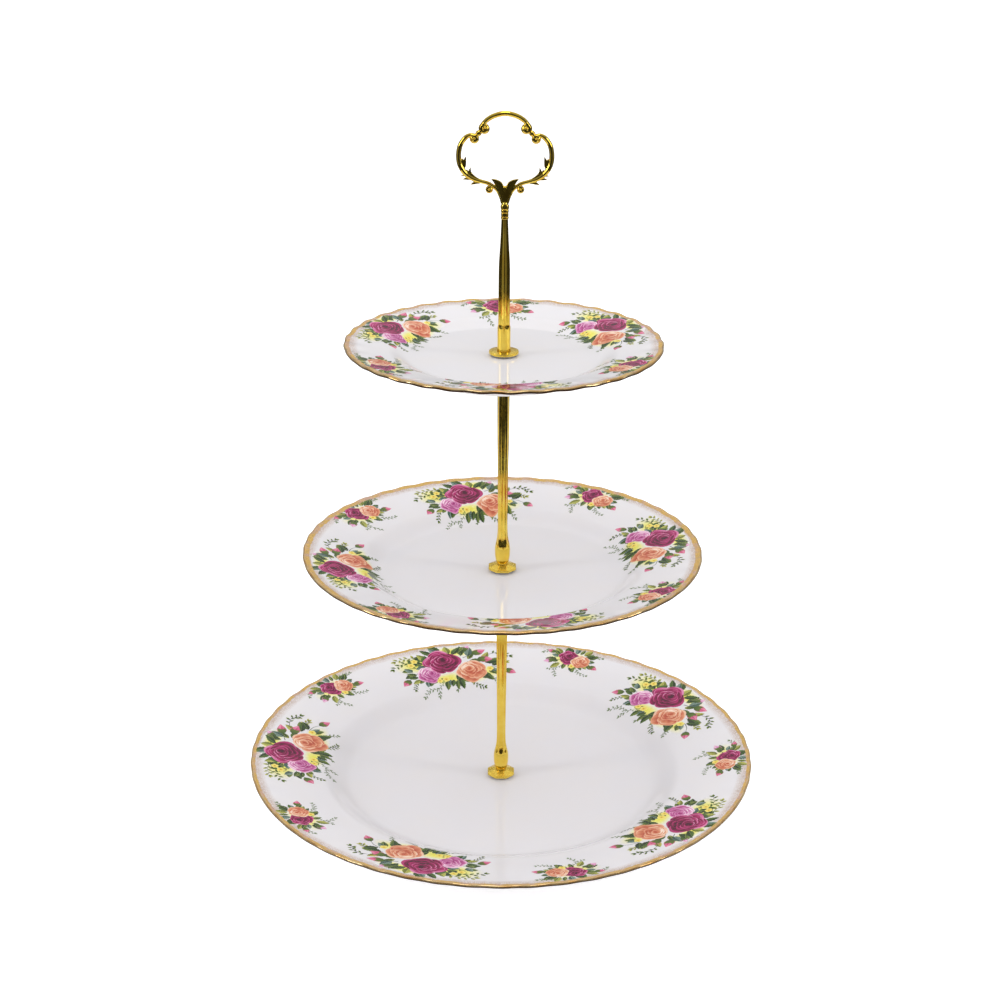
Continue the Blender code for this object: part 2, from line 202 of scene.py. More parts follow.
class Shader:
    """A material's node tree, with short calls for the nodes that these materials use."""

    def __init__(self, name):
        self.material = bpy.data.materials.new(name)
        self.material.use_nodes = True
        self.tree = self.material.node_tree
        self.surface = self.tree.nodes["Principled BSDF"]

    def node(self, kind, **settings):
        node = self.tree.nodes.new(kind)
        for setting, value in settings.items():
            setattr(node, setting, value)
        return node

    def link(self, output, target):
        self.tree.links.new(output, target)

    def place(self):
        return self.node("ShaderNodeTexCoord").outputs["Object"]

    def axes(self, vector):
        """The outputs of a vector's X, Y and Z."""
        node = self.node("ShaderNodeSeparateXYZ")
        self.link(vector, node.inputs["Vector"])
        return node.outputs

    def noise(self, scale, detail=3.0, stretch=None):
        """Noise over the object's own coordinates, in lumps of about 1/scale metres."""
        source = self.place()
        if stretch:
            mapping = self.node("ShaderNodeMapping")
            mapping.inputs["Scale"].default_value = stretch
            self.link(source, mapping.inputs["Vector"])
            source = mapping.outputs["Vector"]
        texture = self.node("ShaderNodeTexNoise")
        texture.inputs["Scale"].default_value = scale
        texture.inputs["Detail"].default_value = detail
        self.link(source, texture.inputs["Vector"])
        return texture.outputs["Fac"]

    def spread(self, value, low, high, from_low=0.3, from_high=0.7):
        node = self.node("ShaderNodeMapRange")
        node.inputs["From Min"].default_value = from_low
        node.inputs["From Max"].default_value = from_high
        node.inputs["To Min"].default_value = low
        node.inputs["To Max"].default_value = high
        self.link(value, node.inputs["Value"])
        return node.outputs["Result"]

    def math(self, operation, first, second):
        node = self.node("ShaderNodeMath", operation=operation)
        for socket, value in zip(node.inputs, (first, second)):
            if isinstance(value, (int, float)):
                socket.default_value = value
            else:
                self.link(value, socket)
        return node.outputs["Value"]

    def mix(self, share, first, second, blend="MIX"):
        node = self.node("ShaderNodeMix", data_type="RGBA", blend_type=blend)
        for index, value in zip(MIX_INPUTS, (share, first, second)):
            socket = node.inputs[index]
            if isinstance(value, (int, float)):
                socket.default_value = value
            elif isinstance(value, np.ndarray):
                socket.default_value = (*value, 1.0)
            else:
                self.link(value, socket)
        return node.outputs[MIX_RESULT]

    def bump(self, height, distance):
        node = self.node("ShaderNodeBump")
        node.inputs["Distance"].default_value = distance
        self.link(height, node.inputs["Height"])
        self.link(node.outputs["Normal"], self.surface.inputs["Normal"])

    def set(self, **values):
        for name, value in values.items():
            socket = self.surface.inputs[name.replace("_", " ")]
            if isinstance(value, (int, float)):
                socket.default_value = value
            else:
                self.link(value, socket)
        return self.material


GLAZE = srgb("DDDBDE")
GLAZE_WARM = srgb("DEDBDC")
FRINGE = srgb("B49A88")
BISCUIT = srgb("D8D2C6")
CAST_GOLD = (srgb("FFE164"), srgb("F4CB4C"))  # the two tones between which it varies
EDGE_GOLD = (srgb("F2D8A6"), srgb("D2A05C"))
# painted shade: a dark tone that stands in for the dark reflection under the gilded lip
EDGE_PAINTED_SHADE = srgb("442408")
BAND_GOLD = srgb("D8B060")
BAND_ROSE = srgb("CFAB94")
STEEL = srgb("B9BBC0")
STEEL_DARK = srgb("8F9298")
RUBBER = srgb("26262A")
RUBBER_DUSTY = srgb("3A3A3E")
PLASTIC = srgb("E4E8EC")
PLASTIC_DULL = srgb("D2D8DE")
GLAZE_SHINE = 0.35
GLAZE_IOR = 1.52
GLAZE_DENTS = 0.01 * MM
BISCUIT_ROUGHNESS = 0.75
BARE_FOOT = 0.35 * MM  # how far up the foot ring is unglazed
FRINGE_NET_SCALE = 950.0  # cells in a metre


def distance_out(shader, axes):
    """The distance from the handle's axis."""
    across = shader.math("MULTIPLY", axes["X"], axes["X"])
    deep = shader.math("MULTIPLY", axes["Y"], axes["Y"])
    return shader.math("SQRT", shader.math("ADD", across, deep), 0.0)


def fringe(shader, plate, axes):
    """How strong the printed fringe is: a net of fine lines that thins out inwards from the gold band."""
    cells = shader.node("ShaderNodeTexVoronoi", feature="DISTANCE_TO_EDGE")
    cells.inputs["Scale"].default_value = FRINGE_NET_SCALE
    shader.link(shader.place(), cells.inputs["Vector"])
    net = shader.spread(cells.outputs["Distance"], 1.0, 0.25, 0.05, 0.30)
    lumps = shader.spread(shader.noise(420.0), 0.55, 1.0)
    inner = plate.radius - FRINGE_REACH
    full = inner + 0.7 * (FRINGE_REACH - plate.band)
    fade = shader.spread(distance_out(shader, axes), 0.0, FRINGE_STRENGTH, inner, full)
    above = shader.math("GREATER_THAN", axes["Z"], plate.well)
    pattern = shader.math("MULTIPLY", net, lumps)
    return shader.math("MULTIPLY", pattern, shader.math("MULTIPLY", fade, above))


def porcelain(plate):
    """Glazed porcelain, with the printed lace fringe inside the gold band and a bare foot ring."""
    shader = Shader(f"{plate.node}_porcelain")
    axes = shader.axes(shader.place())
    glaze = shader.mix(shader.spread(shader.noise(60.0), 0.0, 1.0), GLAZE, GLAZE_WARM)
    bare = shader.math("LESS_THAN", axes["Z"], plate.foot + BARE_FOOT)
    colour = shader.mix(bare, shader.mix(fringe(shader, plate, axes), glaze, FRINGE), BISCUIT)
    gloss = shader.spread(shader.noise(25.0), 0.035, 0.075)
    roughness = shader.math("MAXIMUM", gloss, shader.math("MULTIPLY", bare, BISCUIT_ROUGHNESS))
    shader.bump(shader.noise(90.0, 2.0), GLAZE_DENTS)
    return shader.set(Base_Color=colour, Roughness=roughness, IOR=GLAZE_IOR, Specular_IOR_Level=GLAZE_SHINE)


def printed():
    """The transfer print: its own painted colours, under the same gloss as the glaze."""
    shader = Shader("rose_print")
    paint = shader.node("ShaderNodeAttribute", attribute_name=PAINT)
    grain = shader.spread(shader.noise(900.0), 0.93, 1.06)
    colour = shader.mix(1.0, paint.outputs["Color"], grain, "MULTIPLY")
    shader.bump(shader.noise(90.0, 2.0), GLAZE_DENTS)
    roughness = shader.spread(shader.noise(25.0), 0.04, 0.08)
    return shader.set(Base_Color=colour, Roughness=roughness, IOR=GLAZE_IOR, Specular_IOR_Level=GLAZE_SHINE)


def gold(name, scale, rough, tones, metallic=1.0, dents=0.005 * MM, painted_shade=None):
    """Polished gold: a little uneven in colour and polish. Its last argument, if given, is painted shade: a
    dark tone that stands in for a dark reflection, painted where the gold faces sideways or down.
    """
    shader = Shader(name)
    colour = shader.mix(shader.spread(shader.noise(scale), 0.0, 1.0), *tones)
    # painted shade: the colour turns to the dark tone where the surface faces sideways or down
    if painted_shade is not None:
        facing = shader.axes(shader.node("ShaderNodeNewGeometry").outputs["Normal"])
        colour = shader.mix(shader.spread(facing["Z"], 1.0, 0.0, 0.0, 0.4), colour, painted_shade)
    roughness = shader.spread(shader.noise(3.0 * scale), *rough)
    shader.bump(shader.noise(1.5 * scale, 2.0), dents)
    return shader.set(Base_Color=colour, Roughness=roughness, Metallic=metallic)


def matte_gold():
    """The gold band printed on the glaze: soft, worn thin and rosy in places."""
    shader = Shader("matte_gold_band")
    colour = shader.mix(shader.spread(shader.noise(150.0), 0.0, 1.0, 0.46, 0.66), BAND_GOLD, BAND_ROSE)
    speckle = shader.spread(shader.noise(1100.0), 0.72, 1.12)
    colour = shader.mix(1.0, colour, speckle, "MULTIPLY")
    roughness = shader.spread(shader.noise(300.0), 0.34, 0.46)
    return shader.set(Base_Color=colour, Roughness=roughness, Metallic=0.25)


def steel():
    """Bright plated steel, brushed along its length."""
    shader = Shader("bright_steel")
    brushed = shader.noise(400.0, 4.0, stretch=(1.0, 1.0, 6.0))
    colour = shader.mix(shader.spread(brushed, 0.0, 1.0), STEEL, STEEL_DARK)
    shader.bump(brushed, 0.01 * MM)
    return shader.set(Base_Color=colour, Roughness=shader.spread(brushed, 0.22, 0.36), Metallic=1.0)


def rubber():
    """Black rubber with a fine grain and a little dust."""
    shader = Shader("black_rubber")
    grain = shader.noise(1500.0, 4.0)
    colour = shader.mix(shader.spread(shader.noise(200.0), 0.0, 1.0), RUBBER, RUBBER_DUSTY)
    shader.bump(grain, 0.03 * MM)
    return shader.set(Base_Color=colour, Roughness=shader.spread(grain, 0.6, 0.8))


def clear_plastic():
    """Soft clear plastic, slightly dulled."""
    shader = Shader("clear_plastic")
    colour = shader.mix(shader.spread(shader.noise(300.0), 0.0, 1.0), PLASTIC, PLASTIC_DULL)
    roughness = shader.spread(shader.noise(500.0), 0.12, 0.24)
    return shader.set(Base_Color=colour, Roughness=roughness, Transmission_Weight=0.6, IOR=1.46)


# ---------------------------------------------------------------- plates
LIP_RADIUS = 0.75 * MM  # the rounded edge
LIP_REACH = 2.2 * MM  # how far in from the edge its close rows of points run
LIP_GILDING = 0.7 * MM  # how far the polished gold runs in from the edge, above
LIP_GILDING_UNDER = 1.4 * MM
BAND_SCALLOP = 0.35 * MM
SCALLOPS_PER_WAVE = 3
FRINGE_REACH = 7.0 * MM
FRINGE_STRENGTH = 0.9
WAVE_REACH = 15 * MM
PRINT_LIFT = 0.03 * MM
BAND_LIFT = 0.06 * MM
GILDING_LIFT = 0.075 * MM
GILDING_DEPTH = 0.05 * MM
WELL_SHARE = 0.60  # of the radius, where the well ends
WELL_BLEND = 0.04
STEP_END_SHARE = 0.725
STEP_RISE = 0.44  # of the depth, risen by the step round the well; the rim's slope has the rest
SLOPE_START_SHARE = 0.70
SLOPE_SOFTNESS = 0.02
FOOT_SHARE = 0.58
FOOT_WIDTH = 3.5 * MM
FOOT_ROUND = 0.8 * MM
FOOT_FILLET = 0.4 * MM
PLATE_HOLE = 2.5 * MM


def rise(share):
    """How far the upper surface has risen, as a share of the plate's depth, at a share of its radius."""
    slope = (share - SLOPE_START_SHARE) / (1.0 - SLOPE_START_SHARE)
    soft_slope = (slope + np.sqrt(slope * slope + SLOPE_SOFTNESS)) / (1.0 + math.sqrt(1.0 + SLOPE_SOFTNESS))
    outside = smoothstep(WELL_SHARE - WELL_BLEND, WELL_SHARE + WELL_BLEND, share)
    step = smoothstep(WELL_SHARE, STEP_END_SHARE, share)
    return STEP_RISE * step + (1.0 - STEP_RISE) * soft_slope * outside


def offset_line(line, distance):
    """A section line moved sideways: outwards for a line that runs out over the top."""
    along = directions(line)
    return line + distance * np.column_stack((-along[:, 1], along[:, 0]))


class Plate:
    """A plate's sizes, read from its CAD node and from the washers above and below it."""

    def __init__(self, node, body, washer_below, waves, wave_up, wave_out, band):
        low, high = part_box(node)
        self.node = node
        self.body = body
        self.radius = high.x
        self.rim = high.z
        self.foot = low.z
        self.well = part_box(f"{node}_top_washer")[0].z - GAP
        self.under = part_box(washer_below)[1].z + GAP
        self.waves = waves
        self.wave_up = wave_up
        self.wave_out = wave_out
        self.band = band

    def top(self, radius):
        return self.well + rise(radius / self.radius) * (self.rim - self.well)

    def bottom(self, radius):
        inward = (1.0 - radius / self.radius) / (1.0 - WELL_SHARE)
        wall = 2 * LIP_RADIUS + inward * (self.well - self.under - 2 * LIP_RADIUS)
        return self.top(radius) - wall

    def fluted(self, radius, height, angle):
        """The radius and height of a point once the rim's flutes have bent it."""
        swing = smoothstep(self.radius - WAVE_REACH, self.radius, radius) * np.cos(self.waves * angle)
        return radius + self.wave_out * swing, height + self.wave_up * swing

    def surface(self, radius, angle, lift=0.0):
        """Points on the upper surface, raised by `lift`, and the surface's normals there."""

        def at(radius, angle):
            bent, height = self.fluted(radius, self.top(radius), angle)
            return np.column_stack((bent * np.cos(angle), bent * np.sin(angle), height))

        points = at(radius, angle)
        step = 0.1 * MM
        outward = at(radius + step, angle) - at(radius - step, angle)
        round_ = at(radius, angle + step / self.radius) - at(radius, angle - step / self.radius)
        normals = np.cross(outward, round_)
        normals /= np.linalg.norm(normals, axis=1)[:, None]
        return points + lift * normals, normals

    def lip(self, reach_above, reach_under):
        """The section line of the edge, from above, round the lip, to underneath."""
        join = self.radius - LIP_RADIUS
        slope = math.atan2(self.top(join) - self.top(join - MM), MM)
        normal = np.array((-math.sin(slope), math.cos(slope)))
        middle = np.array((join, self.top(join))) - LIP_RADIUS * normal
        above = np.linspace(self.radius - reach_above, join, 4)[:-1]
        under = np.linspace(join, self.radius - reach_under, 4)[1:]
        line = [(radius, self.top(radius)) for radius in above]
        for turn in np.linspace(0.0, math.pi, 11):
            line.append(middle + polar(LIP_RADIUS, math.pi / 2 + slope - turn))
        line += [(radius, self.bottom(radius)) for radius in under]
        return np.array(line)

    def foot_ring(self):
        """The section line down round the foot ring and in to the hole."""
        outer = FOOT_SHARE * self.radius
        inner = outer - FOOT_WIDTH
        line = [(outer + FOOT_FILLET, self.under), (outer, self.under - FOOT_FILLET)]
        quarter = np.linspace(0.0, math.pi / 2, 5)
        for edge, side, turns in ((outer, -1.0, quarter), (inner, 1.0, quarter[::-1])):
            for turn in turns:
                radius = edge + side * FOOT_ROUND * (1 - math.cos(turn))
                line.append((radius, self.foot + FOOT_ROUND * (1 - math.sin(turn))))
        line += [(inner, self.under - FOOT_FILLET), (inner - FOOT_FILLET, self.under)]
        return line + [(PLATE_HOLE, self.under)]

    def section(self):
        """The whole section: over the top, round the lip, back underneath and down round the foot ring."""
        lip_start = self.radius - LIP_REACH
        flat = np.array((0.2, 0.4, 0.54)) * self.radius
        step = np.linspace(0.57, 0.80, 24) * self.radius
        rim = np.linspace(0.82 * self.radius, lip_start, 10, endpoint=False)
        upper = [(radius, self.top(radius)) for radius in (PLATE_HOLE, *flat, *step, *rim)]
        under_radii = np.linspace(lip_start, WELL_SHARE * self.radius, 24)[1:]
        under = [(radius, self.bottom(radius)) for radius in under_radii]
        lip = [tuple(point) for point in self.lip(LIP_REACH, LIP_REACH)]
        return upper + lip + under + self.foot_ring()


BIG_WAVES = (0.18 * MM, 0.11 * MM)
SMALL_WAVES = (0.25 * MM, 0.16 * MM)
# Node, body, washer below, waves round the rim, their height and depth, width of the matte gold band
PLATES = (
    Plate("large_plate", "base", "base_rubber_washer", 54, *BIG_WAVES, 2.3 * MM),
    Plate("middle_plate", "middle_plate", "lower_rod_top_washer", 44, *BIG_WAVES, 3.3 * MM),
    Plate("small_plate", "small_plate", "upper_rod_top_washer", 35, *SMALL_WAVES, 2.6 * MM),
)
COLUMNS_PER_WAVE = 10


def make_plate(plate):
    columns = plate.waves * COLUMNS_PER_WAVE
    piece = lathe(f"{plate.node}_glazed", plate.section(), columns, plate.fluted, looped=True)
    finish_piece(piece, plate.body, "porcelain", porcelain(plate), plate.node)


def make_lip_gilding(plate, material):
    line = plate.lip(LIP_GILDING, LIP_GILDING_UNDER)
    section = np.vstack([offset_line(line, GILDING_LIFT), offset_line(line, -GILDING_DEPTH)[::-1]])
    columns = plate.waves * COLUMNS_PER_WAVE
    piece = lathe(f"{plate.node}_gilt_edge", section.tolist(), columns, plate.fluted, looped=True)
    finish_piece(piece, plate.body, "gilt", material)


def make_band(plate, material):
    """The matte band, a film with a scalloped inner edge."""
    columns = plate.waves * SCALLOPS_PER_WAVE * 8
    angles = np.linspace(0.0, TURN, columns, endpoint=False)
    scallops = np.abs(np.cos(plate.waves * SCALLOPS_PER_WAVE / 2 * angles))
    inner = plate.radius - plate.band + BAND_SCALLOP * (1.0 - scallops)
    outer = plate.radius - LIP_GILDING + 0.1 * MM
    reaches = [inner + share * (outer - inner) for share in np.linspace(0.0, 1.0, 6)]
    rings = [plate.surface(reach, angles, BAND_LIFT)[0] for reach in reaches]
    rings += [plate.surface(reach, angles, -GILDING_DEPTH)[0] for reach in reaches[::-1]]
    name = f"{plate.node}_gold_band"
    piece = add_piece(name, solid_mesh(name, *skin_faces(rings, looped=True)))
    finish_piece(piece, plate.body, "gilt", material)


# ---------------------------------------------------------------- printed roses, drawn flat in millimetres
PAINT = "paint"
MAGENTA = [srgb(text) for text in ("460A26", "7A1240", "A0225C", "C24C84", "DE98BC")]
PEACH = [srgb(text) for text in ("B4503A", "CE7C5A", "DDA07C", "E8BFA2", "F4E2D2")]
PINK = [srgb(text) for text in ("942E6A", "B85690", "D086B2", "E4B6D0", "F4DEE8")]
BUD = [srgb(text) for text in ("7A1C3C", "B03A60", "D46A8C", "EFB4C4")]
LEAF_DARK = [srgb(text) for text in ("1A2616", "2B3E20", "46602A", "7C8C48")]
LEAF_GREEN = [srgb(text) for text in ("223016", "3C5222", "627432", "A4A866")]
LEAF_OLIVE = [srgb(text) for text in ("4A5220", "737A2E", "A4A64A", "D6D084")]
LEAF_BLUE = [srgb(text) for text in ("2A3C3A", "486054", "70867A", "A8B8AA")]
BLOSSOM = [srgb(text) for text in ("C48E24", "DCBE3C", "ECDE7C")]
SPRIG = [srgb(text) for text in ("5A6A46", "8C9A7A")]
WASH = srgb("DDD63C")
WASH_PALE = srgb("E4DF82")
LIGHT_FROM = math.radians(130)  # where the painter's light comes from
PRINT_MERGE = 1e-4  # points of the outlines nearer than this become one
ROSE_RINGS = ((5, 1.08), (6, 0.86), (5, 0.64), (4, 0.45), (3, 0.30))  # petals, and their share of the size


def ramp(share, stops):
    """The colour at each share of the way along evenly spaced stops."""
    places = np.linspace(0.0, 1.0, len(stops))
    return np.column_stack([np.interp(share, places, channel) for channel in np.array(stops).T])


def flat_tone(tone):
    """The colour function of a shape that has one tone all over."""
    return lambda points: np.tile(tone, (len(points), 1))


def disc(centre, radius, corners):
    return [centre + polar(radius, turn) for turn in np.linspace(0.0, TURN, corners, endpoint=False)]


def square_to(along):
    """The direction square to another, of length one."""
    return np.array((-along[1], along[0])) / np.linalg.norm(along)


def share_along(points, root, along):
    """How far along from the root each point lies, as a share of the whole length."""
    return np.clip((points - root) @ along / (along @ along), 0.0, 1.0)


class Print:
    """Flat shapes in painter's order. Each has an outline and a function that colours points inside it."""

    def __init__(self):
        self.shapes = []

    def add(self, outline, colour):
        outline = np.array(outline, float)
        following = np.roll(outline, -1, axis=0)
        if np.sum(outline[:, 0] * following[:, 1] - outline[:, 1] * following[:, 0]) < 0:
            outline = outline[::-1]
        self.shapes.append((outline, colour))

    def wash(self, centre, across, tall, seed):
        """A soft patch of yellow that fades into the glaze."""
        rng = random.Random(seed)
        phases = [rng.uniform(0.0, TURN) for _ in range(3)]

        def edge(angle):
            swells = [0.07 * np.cos((index + 2) * angle + phase) for index, phase in enumerate(phases)]
            return 1.0 + sum(swells)

        def colour(points):
            away = (points - centre) / (across, tall)
            angle = np.arctan2(away[:, 1], away[:, 0])
            share = np.linalg.norm(away, axis=1) / edge(angle)
            paint = ramp(share, (WASH, WASH_PALE, WASH_PALE))
            fade = smoothstep(0.35, 1.0, share)[:, None]
            return paint * (1.0 - fade) + GLAZE * fade

        angles = np.linspace(0.0, TURN, 28, endpoint=False)
        outline = np.column_stack((across * np.cos(angles), tall * np.sin(angles))) * edge(angles)[:, None]
        self.add(outline + centre, colour)

    def petal(self, middle, angle, spread, outer, inner, palette, tone):
        """A petal from its base near `middle` out to its rolled rim; the next petal lies on its far side."""

        def swing(points):
            away = points - middle
            around = np.arctan2(away[:, 1], away[:, 0]) - angle
            return np.linalg.norm(away, axis=1), (around + math.pi) % TURN - math.pi

        def body(points):
            length, around = swing(points)
            out = np.clip((length - inner) / (outer - inner), 0.0, 1.0)
            tucked = np.clip(0.5 + 0.5 * around / spread, 0.0, 1.0)
            lit = 0.5 + 0.5 * np.cos(around + angle - LIGHT_FROM)
            streak = 0.06 * np.cos(11.0 * around + 7.0 * angle)
            return ramp(tone + 0.42 * out**1.3 + 0.20 * lit - 0.26 * tucked**2 + streak, palette)

        def rim(points):
            _, around = swing(points)
            lit = 0.5 + 0.5 * np.cos(around + angle - LIGHT_FROM)
            return ramp(tone + 0.46 + 0.34 * lit - 0.16 * around / spread, palette)

        swings = np.linspace(-1.0, 1.0, 13)
        lobe = 1.0 - 0.34 * np.abs(swings) ** 2.4 + 0.045 * np.cos(5.0 * swings + 4.0 * angle)
        edge = [middle + polar(outer * size, angle + turn * spread) for size, turn in zip(lobe, swings)]
        base = [middle + polar(0.4 * inner, angle + turn * spread) for turn in (0.6, -0.6)]
        self.add(edge + base, body)
        thickness = (0.10 + 0.08 * np.cos(2.2 * swings + 5.0 * angle)) * (1.0 - swings**2) * outer
        inside = [
            middle + polar(outer * size - thick, angle + turn * spread)
            for size, thick, turn in zip(lobe, thickness, swings)
        ]
        self.add(edge + inside[-2:0:-1], rim)

    def rose(self, x, y, size, palette, lean, seed):
        """A full-blown rose: rings of overlapping petals round a heart that sits off towards `lean`."""
        rng = random.Random(seed)
        centre = np.array((x, y), float)
        towards = polar(0.34 * size, lean)
        inner_reaches = [reach for _, reach in ROSE_RINGS[1:]] + [0.14]
        for (count, reach), inner_reach in zip(ROSE_RINGS, inner_reaches):
            shift = (rng.uniform(-0.05, 0.05) * size, rng.uniform(-0.05, 0.05) * size)
            middle = centre + towards * (1.0 - reach) + shift
            inner = size * inner_reach
            first = rng.uniform(0.0, TURN)
            for index in range(count):
                angle = first + TURN * index / count + rng.uniform(-0.22, 0.22)
                outer = size * reach * rng.uniform(0.84, 1.06)
                spread = rng.uniform(0.66, 0.86) * TURN / count
                self.petal(middle, angle, spread, outer, 0.78 * inner, palette, rng.uniform(-0.06, 0.16))
        heart = centre + towards * 0.84
        self.add(disc(heart, 0.14 * size, 10), flat_tone(palette[0]))
        curl = [heart + polar(0.13 * size, turn) for turn in np.linspace(1.2, 4.2, 7)]
        curl += [heart + polar(0.07 * size, turn) for turn in np.linspace(4.0, 1.4, 5)]
        self.add(curl, flat_tone(palette[1]))

    def leaf(self, root, tip, width, palette=LEAF_GREEN):
        """A serrated leaf in two halves, one in the light, with a pale midrib and side veins."""
        root, tip = np.array(root, float), np.array(tip, float)
        along = tip - root
        across = square_to(along)
        shares = np.linspace(0.0, 1.0, 12)

        def edge(share, tooth):
            return width * math.sin(math.pi * share**0.85) ** 0.9 * (1.0 + 0.10 * tooth)

        for side, (low, high) in ((1.0, (0.35, 0.95)), (-1.0, (0.0, 0.55))):
            outline = [root]
            for index, share in enumerate(shares[1:-1]):
                outline.append(root + share * along + side * edge(share, (-1) ** index) * across)
            outline.append(tip)

            def colour(points, low=low, high=high):
                away = np.abs((points - root) @ across) / width
                mixed = 0.5 * share_along(points, root, along) + 0.5 * away
                return ramp(low + (high - low) * mixed, palette)

            self.add(outline, colour)
            for share in (0.28, 0.48, 0.68):
                start = root + share * along
                end = start + 0.16 * along + side * 0.75 * edge(share + 0.12, 0) * across
                self.ribbon([start, end], 0.10, palette[2])
        self.ribbon([root, root + 0.95 * along], 0.16, palette[3])

    def foliage(self, centre, radii, degrees, count, lengths, seed):
        """Leaves that stick out round part of an ellipse, in mixed greens and at uneven angles."""
        rng = random.Random(seed)
        palettes = (LEAF_DARK, LEAF_GREEN, LEAF_DARK, LEAF_OLIVE, LEAF_GREEN, LEAF_BLUE)
        first, last = degrees
        for index in range(count):
            turn = math.radians(first + (last - first) * (index + rng.uniform(0.2, 0.8)) / count)
            root = np.array(centre) + rng.uniform(0.62, 0.86) * np.array(radii) * polar(1.0, turn)
            length = rng.uniform(*lengths)
            tip = root + polar(length, turn + rng.uniform(-0.7, 0.7))
            self.leaf(root, tip, length * rng.uniform(0.22, 0.30), palettes[index % len(palettes)])

    def ribbon(self, points, width, tone):
        """A thin stroke that narrows towards its end."""
        path = smooth_path(points, 6) if len(points) > 2 else np.array(points, float)
        along = directions(path)
        across = np.column_stack((-along[:, 1], along[:, 0]))
        half = 0.5 * width * np.linspace(1.0, 0.4, len(path))[:, None]
        outline = np.vstack([path + across * half, (path - across * half)[::-1]])
        self.add(outline, flat_tone(tone))

    def leaflet(self, root, tip, width, palette):
        """A small plain leaf."""
        root, tip = np.array(root, float), np.array(tip, float)
        along = tip - root
        across = width * square_to(along)
        outline = [root, root + 0.35 * along + across, root + 0.7 * along + 0.8 * across, tip]
        outline += [root + 0.7 * along - 0.8 * across, root + 0.35 * along - across]
        self.add(outline, lambda points: ramp(share_along(points, root, along), palette))

    def sprig(self, points, leaf, palette=SPRIG, seed=1):
        """A fine stem with small leaves to each side."""
        rng = random.Random(seed)
        self.ribbon(points, 0.28, palette[0])
        path = smooth_path(points, 5)
        for index in range(2, len(path)):
            step = path[index] - path[index - 1]
            side = (-1) ** index
            angle = math.atan2(step[1], step[0]) + side * rng.uniform(0.7, 1.1)
            length = leaf * rng.uniform(0.8, 1.15)
            self.leaflet(path[index], path[index] + polar(length, angle), 0.21 * length, palette)
        ending = path[-1] - path[-2]
        tip = path[-1] + polar(leaf, math.atan2(ending[1], ending[0]))
        self.leaflet(path[-1], tip, 0.26 * leaf, palette)

    def bud(self, x, y, direction, length, palette=BUD, stem=None):
        """A closed bud with its sepals; `stem` is the points of its stalk, if it has one."""
        foot = np.array((x, y), float)
        if stem:
            self.ribbon(stem + [(x, y)], 0.45, LEAF_GREEN[1])
        width = 0.34 * length
        along = polar(length, direction)
        across = polar(width, direction + math.pi / 2)

        def edge(side, stretch):
            shares = np.linspace(0.0, 1.0, 8)[:, None]
            return foot + shares * stretch * along + side * across * np.sin(math.pi * shares**0.7)

        def tone(shift):
            return lambda points: ramp(shift + 0.5 * share_along(points, foot, along), palette)

        petals = ((1.0, -1.0, 1.0, 0.15), (0.95, 0.05, 0.94, 0.40), (-0.35, -0.95, 0.90, 0.30))
        for near, far, stretch, shift in petals:
            self.add(np.vstack([edge(near, stretch), edge(far, stretch)[-2:0:-1]]), tone(shift))
        for turn, share in ((0.42, 0.62), (-0.42, 0.62), (0.0, 0.5)):
            tip = foot + share * polar(length, direction + turn)
            self.leaflet(foot - 0.08 * along, tip, 0.16 * length, LEAF_GREEN[1:3])

    def blossom(self, x, y, size):
        """A small open flower with five round petals."""
        centre = np.array((x, y), float)

        def colour(points):
            return ramp(np.linalg.norm(points - centre, axis=1) / size, BLOSSOM[1:])

        for index in range(5):
            middle = centre + polar(0.55 * size, TURN * index / 5 + x)
            self.add(disc(middle, 0.48 * size, 9), colour)
        self.add(disc(centre, 0.22 * size, 8), flat_tone(BLOSSOM[0]))

    def flatten(self, spacing):
        """One flat mesh of all the shapes: points, triangles, and each triangle's three corner colours."""
        points, faces = [], []
        for outline, _ in self.shapes:
            faces.append(list(range(len(points), len(points) + len(outline))))
            points.extend(outline.tolist())
        corners = np.array(points)
        low, high = corners.min(axis=0), corners.max(axis=0)
        for row, y in enumerate(np.arange(low[1], high[1], 0.87 * spacing)):
            for x in np.arange(low[0] + (row % 2) * 0.5 * spacing, high[0], spacing):
                points.append((x, y))
        found = delaunay_2d_cdt([Vector(point) for point in points], [], faces, 1, PRINT_MERGE)
        flat = np.array([tuple(vertex) for vertex in found[0]])
        triangles = np.array([list(face) for face in found[2]])
        topmost = np.array([max(origin) if origin else -1 for origin in found[5]])
        triangles, topmost = triangles[topmost >= 0], topmost[topmost >= 0]
        colours = np.zeros((len(triangles), 3, 3))
        for shape in np.unique(topmost):
            mine = topmost == shape
            where = flat[triangles[mine]]
            inset = where + 0.02 * (where.mean(axis=1, keepdims=True) - where)
            colours[mine] = self.shapes[shape][1](inset.reshape(-1, 2)).reshape(-1, 3, 3)
        return flat, triangles, colours


